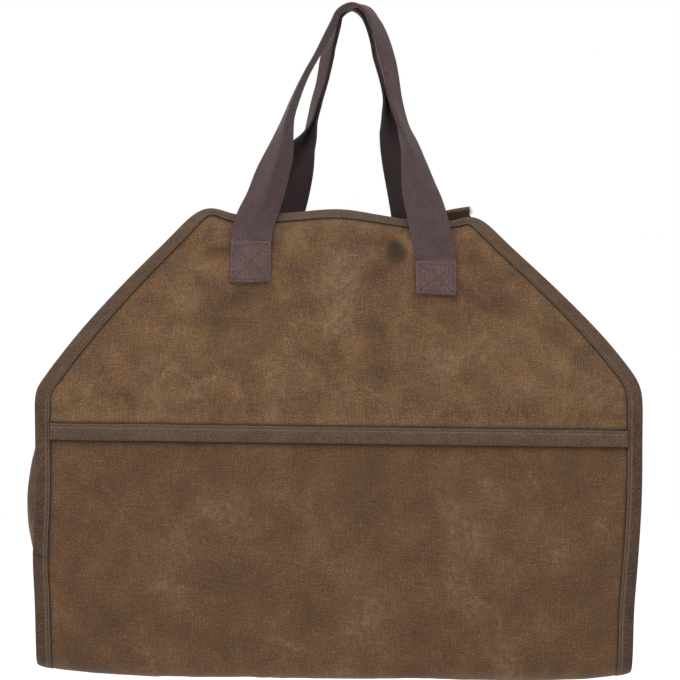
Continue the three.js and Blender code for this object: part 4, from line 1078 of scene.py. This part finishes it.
# %% The two cross bindings
def cross_path(rear, seed):
    top = SEAM - HAIR
    t = np.linspace(0, 1, 400)
    edge_s = blend(band_share(LAP_END, 0) + 0.001, 1 - band_share(LAP_END, 1) - 0.001, t)
    inner_s = blend(band_share(top, 0) + 0.001, 1 - band_share(top, 1) - 0.001, t)
    proud = lap_proud(across_at(edge_s, LAP_END), seed)
    at = (lambda v: REAR_TOP - v) if rear else (lambda v: v)
    return tape_path(
        edge_s, at(LAP_END) + 0 * t, inner_s, at(top) + 0 * t, LAP_OUT + 0 * t,
        TAPE_SEAT + 0 * t, proud=proud, even=0.002)


front_cross_path, rear_cross_path = cross_path(False, 150), cross_path(True, 350)
# The last number is painted light: the cross strips are paler than the side tapes, which turn from
# the light.
front_cross = bind("front_cross_tape", "front_cross_binding", front_cross_path, 23, 0.3)
rear_cross = bind("rear_cross_tape", "rear_cross_binding", rear_cross_path, 24, 0.3)

# %% [markdown]
# ## Handles
# Each handle is one length of webbing. Its two ends are turned under and sewn flat on the
# panel in a square. From there it rises, folds lengthwise in half, and the folded part is the
# grip. The two grips lie back to back under the hanging point. The half way between flat and
# folded is what makes the pointed openings on each leg, so it is followed row by row: how
# far open the fold is, and how far the webbing has turned about its own line.

# %% Tables of the four legs
FRONT_LEFT_LEG = {
    "up": [0.08, 0.18, 0.28, 0.38, 0.46, 0.54, 0.62, 0.71, 0.79, 0.86, 0.93, 0.985],
    "across": [0.968, 0.876, 0.8, 0.722, 0.677, 0.629, 0.561, 0.468, 0.364, 0.283, 0.202, 0.13],
    "open": [0.87, 0.7, 0.61, 0.45, 0.27, 0.13, 0.08, 0.04, 0, 0, 0, 0],
    "turn": [0, 0, 0, 0, 0, 0, 0, 0, -2, -5, -8, -4],
}
FRONT_RIGHT_LEG = {
    "up": [0.12, 0.21, 0.285, 0.375, 0.45, 0.53, 0.625, 0.73, 0.8, 0.865, 0.933, 0.985],
    "across": [0.933, 0.87, 0.804, 0.742, 0.677, 0.57, 0.465, 0.4, 0.345, 0.295, 0.215, 0.14],
    "open": [0.93, 0.8, 0.64, 0.42, 0.27, 0.14, 0.03, 0, 0, 0, 0, 0],
    "turn": [0, 0, 0, 2, 5, 12, 30, 38, 42, 38, 33, 20],
}
REAR_LEFT_LEG = {
    "up": [0.115, 0.215, 0.31, 0.42, 0.48, 0.55, 0.625, 0.705, 0.825, 0.88, 0.94, 0.985],
    "across": [0.922, 0.834, 0.765, 0.675, 0.61, 0.564, 0.515, 0.449, 0.384, 0.31, 0.22, 0.13],
    "open": [0.97, 0.97, 0.85, 0.5, 0.25, 0.05, 0.02, 0, 0, 0, 0, 0],
    "turn": [0, 0, 0, 4, 12, 20, 25, 28, 36, 26, 16, 4],
}
REAR_RIGHT_LEG = {
    "up": [0.085, 0.185, 0.31, 0.41, 0.51, 0.575, 0.635, 0.715, 0.815, 0.88, 0.94, 0.985],
    "across": [0.953, 0.897, 0.815, 0.739, 0.643, 0.588, 0.575, 0.52, 0.41, 0.333, 0.243, 0.15],
    "open": [0.97, 0.97, 0.97, 0.8, 0.5, 0.2, 0.05, 0, 0, 0, 0, 0],
    "turn": [0, 0, 0, 0, 0, 4, 10, 14, 14, 8, 4, 0],
}


# %% [markdown]
# The webbing's section is worked out from its true width: the two halves stay flat and bend
# back about a narrow crease, so that no row gets wider or narrower. A curve through the table's
# places carries the rows, and an array of boxes or a bevelled curve could do neither.

# %% Webbing that folds shut about its crease
NEARLY_FLAT = 0.001  # a bend, in radians, too small to divide by


def webbing_section(w, share_open):
    """Where a point w metres from the webbing's middle goes as its halves bend back."""
    bend = (1 - share_open) * np.pi / 2
    reach = CREASE / 2
    in_crease = np.minimum(np.abs(w), reach)
    beyond = np.abs(w) - in_crease
    angle = bend * in_crease / reach
    radius = reach / np.maximum(bend, NEARLY_FLAT)
    flat = bend < NEARLY_FLAT
    across = np.where(flat, in_crease, radius * np.sin(angle))
    back = np.where(flat, 0, radius * (1 - np.cos(angle)))
    return (
        np.sign(w) * (across + beyond * np.cos(angle)),
        back + beyond * np.sin(angle))


def smooth_curve(knots, t):
    """A curve through the knots whose speed follows their spacing, as a cord would lie."""
    first, last = 2 * knots[0] - knots[1], 2 * knots[-1] - knots[-2]
    padded = np.vstack([first, knots, last])
    i = np.clip(np.floor(t * (len(knots) - 1)).astype(int), 0, len(knots) - 2)
    x = (t * (len(knots) - 1) - i)[:, None]
    p0, p1, p2, p3 = (padded[i + k] for k in range(4))
    d0, d1, d2 = (np.maximum(np.linalg.norm(b - a, axis=1, keepdims=True), 1e-6) ** 0.5
                  for a, b in ((p0, p1), (p1, p2), (p2, p3)))
    t1 = ((p1 - p0) / d0 - (p2 - p0) / (d0 + d1) + (p2 - p1) / d1) * d1
    t2 = ((p2 - p1) / d1 - (p3 - p1) / (d1 + d2) + (p3 - p2) / d2) * d1
    return (p1 + t1 * x + (-3 * p1 + 3 * p2 - 2 * t1 - t2) * x**2
            + (2 * p1 - 2 * p2 + t1 + t2) * x**3)


INNER_LIFT = CANVAS / 2 + PATCH_GAP + WEBBING / 2
OUTER_LIFT = INNER_LIFT + WEBBING + GAP
WEB_COLUMNS, FREE_ROWS = 28, 300


def patch_rows(drop, length):
    """Stations and lifts of a sewn end, from its hidden end round the fold and up."""
    upper, lower = below_top(drop), below_top(drop + length)
    per = (lower - upper) / length
    radius, middle = (OUTER_LIFT - INNER_LIFT) / 2, (OUTER_LIFT + INNER_LIFT) / 2
    angle = np.radians(np.linspace(-90, 90, 12))
    hidden = np.linspace(upper + PATCH_TURN * per, lower - PATCH_TURN * per, 12)
    sewn = np.linspace(lower - PATCH_TURN * per, upper, 15)
    v = np.concatenate([hidden, lower + (np.cos(angle) - 1) * radius * per, sewn])
    lift = np.concatenate([
        0 * hidden + INNER_LIFT, middle + radius * np.sin(angle), 0 * sewn + OUTER_LIFT])
    return v, lift


def patch_places(end, mirror, hand, w):
    x, drop, length = end
    v, lift = patch_rows(drop, length)
    v, lift, w = v[:, None], lift[:, None], w[None, :]
    share = share_at(x + hand * w, v)
    return lifted(share, REAR_TOP - v if mirror else v + 0 * share, lift + 0 * share)


def handle(name, node, left_leg, right_leg, ends, mirror, seed):
    facing = np.array([0, 1.0 if mirror else -1.0, 0])
    hand = -1 if mirror else 1
    w = np.linspace(-1, 1, WEB_COLUMNS + 1)
    w = np.sign(w) * np.abs(w) ** 1.25 * WEBBING_WIDTH / 2
    left = patch_places(ends[0], mirror, hand, w)
    right = patch_places(ends[1], mirror, -hand, w)
    left_start, right_start = left[-1, WEB_COLUMNS // 2], right[-1, WEB_COLUMNS // 2]
    half = np.array([WEBBING_WIDTH / 2])
    shut_across, shut_back = (value[0] for value in webbing_section(half, 0 * half))
    grip_depth, grip_height = shut_back + GAP / 2, shut_across + WEBBING / 2

    def leg_knots(leg, start):
        up, across = np.array(leg["up"]), np.array(leg["across"])
        return np.stack([
            start[0] * across,
            blend(start[1], facing[1] * grip_depth, up),
            start[2] * (1 - up)], -1)

    knots = np.vstack([
        left_start, leg_knots(left_leg, left_start), [0, facing[1] * grip_depth, grip_height],
        leg_knots(right_leg, right_start)[::-1], right_start])
    opens = np.array([1, *left_leg["open"], 0, *right_leg["open"][::-1], 1], float)
    turns = np.array([0, *left_leg["turn"], 0, *right_leg["turn"][::-1], 0], float)
    t = np.linspace(0, 1, FREE_ROWS + 1)[1:-1]
    centre = smooth_curve(knots, t)
    along = unit(smooth_curve(knots, t + 1e-4) - smooth_curve(knots, t - 1e-4))
    places = {"at": np.arange(len(knots)) / (len(knots) - 1), "open": opens, "turn": turns}
    share_open = np.clip(read_table(places, "at", "open", t), 0, 1)
    turn = np.radians(read_table(places, "at", "turn", t))[:, None]
    out = unit(facing - along * (along @ facing)[:, None])
    across = np.cross(along, out)
    out, across = (out * np.cos(turn) + across * np.sin(turn),
                   across * np.cos(turn) - out * np.sin(turn))
    place_across, place_back = webbing_section(w[None, :], share_open[:, None])
    run = running_length(centre)
    slack = 0.35 * MM * hills(run[:, None] + 0 * w, w[None, :] + 0 * run[:, None], 0.03, seed)
    edge_wave = 0.5 * MM * hills(run[:, None] + 0 * w, 0 * place_back, 0.02, seed + 1)
    edge_wave = edge_wave * (np.abs(w) / w.max()) ** 6 * share_open[:, None]
    free = (centre[:, None] + across[:, None] * place_across[..., None]
            - out[:, None] * (place_back - (slack + edge_wave) * share_open[:, None])[..., None])
    rows_3d = np.concatenate([left, free, right[::-1]])
    rows = len(rows_3d) - 1
    piece, c, r = cut_cloth(name, WEB_COLUMNS, rows)
    length = running_length(rows_3d[:, WEB_COLUMNS // 2])
    carry(piece, rows_3d[r, c], np.stack([w[c], length[r]], -1))
    sewn = (r < len(left)) | (r >= len(rows_3d) - len(right))
    # The free length is darker than the sewn ends.
    mark(piece, "free_length", np.where(sewn, 0.0, 1.0))
    outward = np.concatenate([
        np.full((len(left), 3), facing), out, np.full((len(right), 3), facing)])
    thicken(piece, WEBBING, 0.45 * MM)
    mark_inner_shade(piece, rows_3d, outward)
    dress(piece, node, WEBBING_FINISH)
    print(f"{name}: {length[-1]:.3f} m of webbing")
    return piece


def mark_inner_shade(piece, rows_3d, outward):
    """Marks the faces of the webbing that turn inwards in its folds, to be painted darker as
    shade.
    """
    mesh = piece.data
    count = len(mesh.vertices)
    places = points_of(piece)
    normals = np.empty(count * 3)
    mesh.vertices.foreach_get("normal", normals)
    normals = normals.reshape(-1, 3)
    flat_rows = rows_3d.reshape(-1, 3)
    per_row = rows_3d.shape[1]
    tree = kdtree.KDTree(len(flat_rows))
    for i, place in enumerate(flat_rows):
        tree.insert(place, i)
    tree.balance()
    values = np.zeros(count)
    sheet_normals = unit(np.cross(
        np.gradient(rows_3d, axis=0), np.gradient(rows_3d, axis=1))).reshape(-1, 3)
    middle = per_row // 2
    sign = np.sign((sheet_normals.reshape(rows_3d.shape)[:, middle] * outward).sum(-1))
    for i in range(count):
        found = tree.find(places[i])[1]
        side = (places[i] - flat_rows[found]) @ sheet_normals[found] * sign[found // per_row]
        values[i] = side < 0
    # Painted shade on the faces inside the folds.
    mark(piece, "inside", values)


front_handle = handle(
    "front_handle_webbing", "front_handle", FRONT_LEFT_LEG, FRONT_RIGHT_LEG, FRONT_ENDS,
    False, 31)
rear_handle = handle(
    "rear_handle_webbing", "rear_handle", REAR_LEFT_LEG, REAR_RIGHT_LEG, REAR_ENDS, True, 32)

# %% [markdown]
# ## Stitches
# A lockstitch shows as a row of short bars that dip into the cloth at each end, about 3 mm
# apart. One bar is modelled, a little barrel of thread, and it is copied along each sewn
# line, each copy turned to the line and laid on the cloth. They are real thread rather than
# paint, so that they catch the light and cast their small shadows from every side.

# %% One stitch, and a row of them
def one_stitch():
    bpy.ops.object.select_all(action="DESELECT")
    bpy.ops.mesh.primitive_uv_sphere_add(segments=6, ring_count=5, radius=1)
    bar = bpy.context.active_object
    bpy.ops.object.mode_set(mode="EDIT")
    bpy.ops.mesh.select_all(action="SELECT")
    bpy.ops.transform.rotate(
        value=math.pi / 2, orient_axis="Y", center_override=(0, 0, 0))
    bpy.ops.transform.resize(value=(1.15 * MM, 0.36 * MM, 0.36 * MM), center_override=(0, 0, 0))
    bpy.ops.object.mode_set(mode="OBJECT")
    points = points_of(bar).copy()
    faces = [tuple(face.vertices) for face in bar.data.polygons]
    bpy.data.objects.remove(bar, do_unlink=True)
    return points, faces


STITCH_POINTS, STITCH_FACES = one_stitch()
STITCH_PITCH = 3.1 * MM


def sew(name, lines, material, seed):
    """Copies the stitch along lines, each a row of places and a row of outward directions."""
    points, faces = [], []
    random = np.random.default_rng(seed)
    for places, outward in lines:
        run = running_length(places)
        count = max(int(run[-1] / STITCH_PITCH), 1)
        at = (np.arange(count) + 0.5) * run[-1] / count
        def along_run(lines_of, where):
            return np.column_stack([np.interp(where, run, line) for line in lines_of.T])
        middle = along_run(places, at)
        ahead = unit(along_run(places, at + 0.0008) - along_run(places, at - 0.0008))
        up = along_run(outward, at)
        up = unit(up - ahead * (up * ahead).sum(-1, keepdims=True))
        side = np.cross(up, ahead)
        skew = random.uniform(-0.08, 0.08, count)[:, None]
        ahead, side = unit(ahead + side * skew), unit(side - ahead * skew)
        size = random.uniform(0.9, 1.08, count)[:, None, None]
        local = STITCH_POINTS[None] * size
        copies = (middle[:, None] + ahead[:, None] * local[..., :1]
                  + side[:, None] * local[..., 1:2] + up[:, None] * local[..., 2:])
        for copy in copies:
            first = len(points) * len(STITCH_POINTS)
            points.append(copy)
            faces += [tuple(first + i for i in face) for face in STITCH_FACES]
    return piece_of_copies(name, points, faces, material)


def tape_line(path, seed, front, skip):
    """The sewn line of a tape, on its front or back face. It leaves `skip` free at both ends."""
    rows = np.arange(len(path["run"]))
    rows = rows[(path["run"] > skip) & (path["run"] < path["run"][-1] - skip)]
    wide = np.linalg.norm(path["edge"][rows] - path["inner"][rows], axis=-1)
    q = STITCH_IN / wide * (0.5 - FOLD_SHARE)
    place = tape_place(path, rows, q if front else 1 - q, seed)
    normal = path["normal_i"][rows] * (1 if front else -1)
    return place + normal * (TAPE / 2 + 0.02 * MM), normal


thread_front = sew("edge_binding_front_stitches", [
    tape_line(front_path, 21, True, 0.002), tape_line(front_path, 21, False, 0.002)],
    THREAD_FINISH, seed=41)
thread_rear = sew("edge_binding_rear_stitches", [
    tape_line(rear_path, 22, True, 0.002), tape_line(rear_path, 22, False, 0.002)],
    THREAD_FINISH, seed=42)
thread_cross = sew("cross_seam_stitches", [
    tape_line(front_cross_path, 23, True, 0.001), tape_line(rear_cross_path, 24, True, 0.001)],
    THREAD_FINISH, seed=43)

# %% [markdown]
# Two tape ends were cut with scissors and fray a little: the one at the rear right corner,
# whose tip shows over the front edge, and the one of the joint on the left side. A loose
# thread is a thin tube that bends away from where it starts.

# %% Frayed tape ends
def loose_threads(name, path, last, count, reach, seed):
    """Threads that come out of the first row of a tape, bending at random."""
    random = np.random.default_rng(seed)
    steps, sides, thick = 9, 5, 0.16 * MM
    points, faces = [], []
    out = unit(path["edge"][0] - path["edge"][2])
    for _ in range(count):
        share = random.uniform(*last)
        start = blend(path["inner"][0], path["edge"][0], share)
        start = start + path["normal_e"][0] * random.uniform(0.2, 1.3) * MM - out * 1 * MM
        bend = unit(random.normal(size=3)) * random.uniform(0.3, 0.9)
        far = random.uniform(0.5, 1.0) * reach
        t = np.linspace(0, 1, steps)[:, None]
        line = start + (out * t + bend * t**2 * 0.6) * far
        ahead = unit(np.gradient(line, axis=0))
        side = unit(np.cross(ahead, [0.3, 0.5, 0.8]))
        turn = np.linspace(0, 2 * np.pi, sides, endpoint=False)[None, :, None]
        ring = side[:, None] * np.cos(turn) + np.cross(ahead, side)[:, None] * np.sin(turn)
        radius = thick * (1 - 0.6 * t[:, None])
        first = len(points) * steps * sides
        points.append((line[:, None] + ring * radius).reshape(-1, 3))
        for row in range(steps - 1):
            for k in range(sides):
                a, b = first + row * sides + k, first + row * sides + (k + 1) % sides
                faces.append((a, b, b + sides, a + sides))
    piece_of_copies(name, points, faces, THREAD_FINISH)


loose_threads("rear_corner_threads", rear_path, (0.3, 1.05), 26, 4.5 * MM, 51)
loose_threads("joint_threads", front_path, (0.75, 1.1), 9, 3 * MM, 52)

# %% [markdown]
# Each sewn end of a handle is held by a box of stitches with a cross in it, 3 mm inside the
# edges of the webbing.

# %% Box stitches on the handle ends
def patch_lines(x, drop, length, mirror):
    corners = np.array([
        [-1, 1], [1, 1], [1, -1], [-1, -1], [-1, 1], [1, -1], [1, 1], [-1, -1]], float)
    half = np.array([WEBBING_WIDTH / 2 - 3 * MM, length / 2 - 2.5 * MM])
    lines = []
    for a, b in ((0, 1), (1, 2), (2, 3), (3, 4), (4, 5), (6, 7)):
        t = np.linspace(0, 1, 40)[:, None]
        flat = blend(corners[a] * half, corners[b] * half, t)
        v = below_top(drop + length / 2 - flat[:, 1])
        share = share_at(x + flat[:, 0], v)
        station = REAR_TOP - v if mirror else v
        top = OUTER_LIFT + WEBBING / 2 + 0.03 * MM
        lines.append((lifted(share, station, top + 0 * v), cloth_normal(share, station)))
    return lines


box_lines = []
for ends, mirror in ((FRONT_ENDS, False), (REAR_ENDS, True)):
    for place, drop, length in ends:
        box_lines += patch_lines(place, drop, length, mirror)
sew("handle_box_stitches", box_lines, PATCH_THREAD, seed=44)

# %% [markdown]
# ## The cloth pieces
# The five cut panels are sheets that hang from the handles. Their flat sizes are those of
# the pattern. The tapes and the rows of thread are separate pieces on them.

# %% [markdown]
# ## Studio
# The photograph is taken from straight in front, a little above the middle of the bag, with
# a long lens, against white, in soft light that comes most from above. So the floor is pale
# and lies well below the hanging bag, the surroundings are white, one large soft light hangs
# above, a weaker one stands in front and a small one fills in from the left.

# %% Camera, floor and light
scene = bpy.context.scene
scene.view_settings.view_transform = "Standard"

CAMERA_PLACE = (-0.0116, -2.2, -0.3194)
FOCAL_PIXELS, FRAME_PIXELS, SENSOR = 2280, 680, 36
bpy.ops.object.camera_add(location=CAMERA_PLACE, rotation=(math.pi / 2, 0, 0))
camera = bpy.context.active_object
camera.data.sensor_width = SENSOR
camera.data.lens = FOCAL_PIXELS / FRAME_PIXELS * SENSOR
camera.data.clip_end = 50
scene.camera = camera

bpy.ops.mesh.primitive_plane_add(size=14, location=(0, 0, -1.05))
studio_floor = bpy.context.active_object
studio_floor.name = "studio_floor"
studio_floor.data.materials.append(new_finish(
    "matt_white_paper", Base_Color=linear("#fefefe"), Roughness=0.95)[0])

world = bpy.data.worlds.new("white_studio")
world.use_nodes = True
world.node_tree.nodes["Background"].inputs[0].default_value = (1, 1, 1, 1)
world.node_tree.nodes["Background"].inputs[1].default_value = 1.0
scene.world = world


def soft_light(name, place, aim, size, power):
    bpy.ops.object.light_add(type="AREA", location=place)
    light = bpy.context.active_object
    light.name, light.data.size, light.data.energy = name, size, power
    light.rotation_euler = (Vector(aim) - Vector(place)).to_track_quat("-Z", "Y").to_euler()
    return light


soft_light("overhead", (0.0, -0.5, 2.2), (0, 0, -0.3), 2.6, 70)
soft_light("key_front", (-0.7, -2.0, 0.9), (0, 0, -0.35), 1.4, 14)
soft_light("fill_left", (-2.2, -0.9, 0.0), (0, 0, -0.35), 1.0, 8)
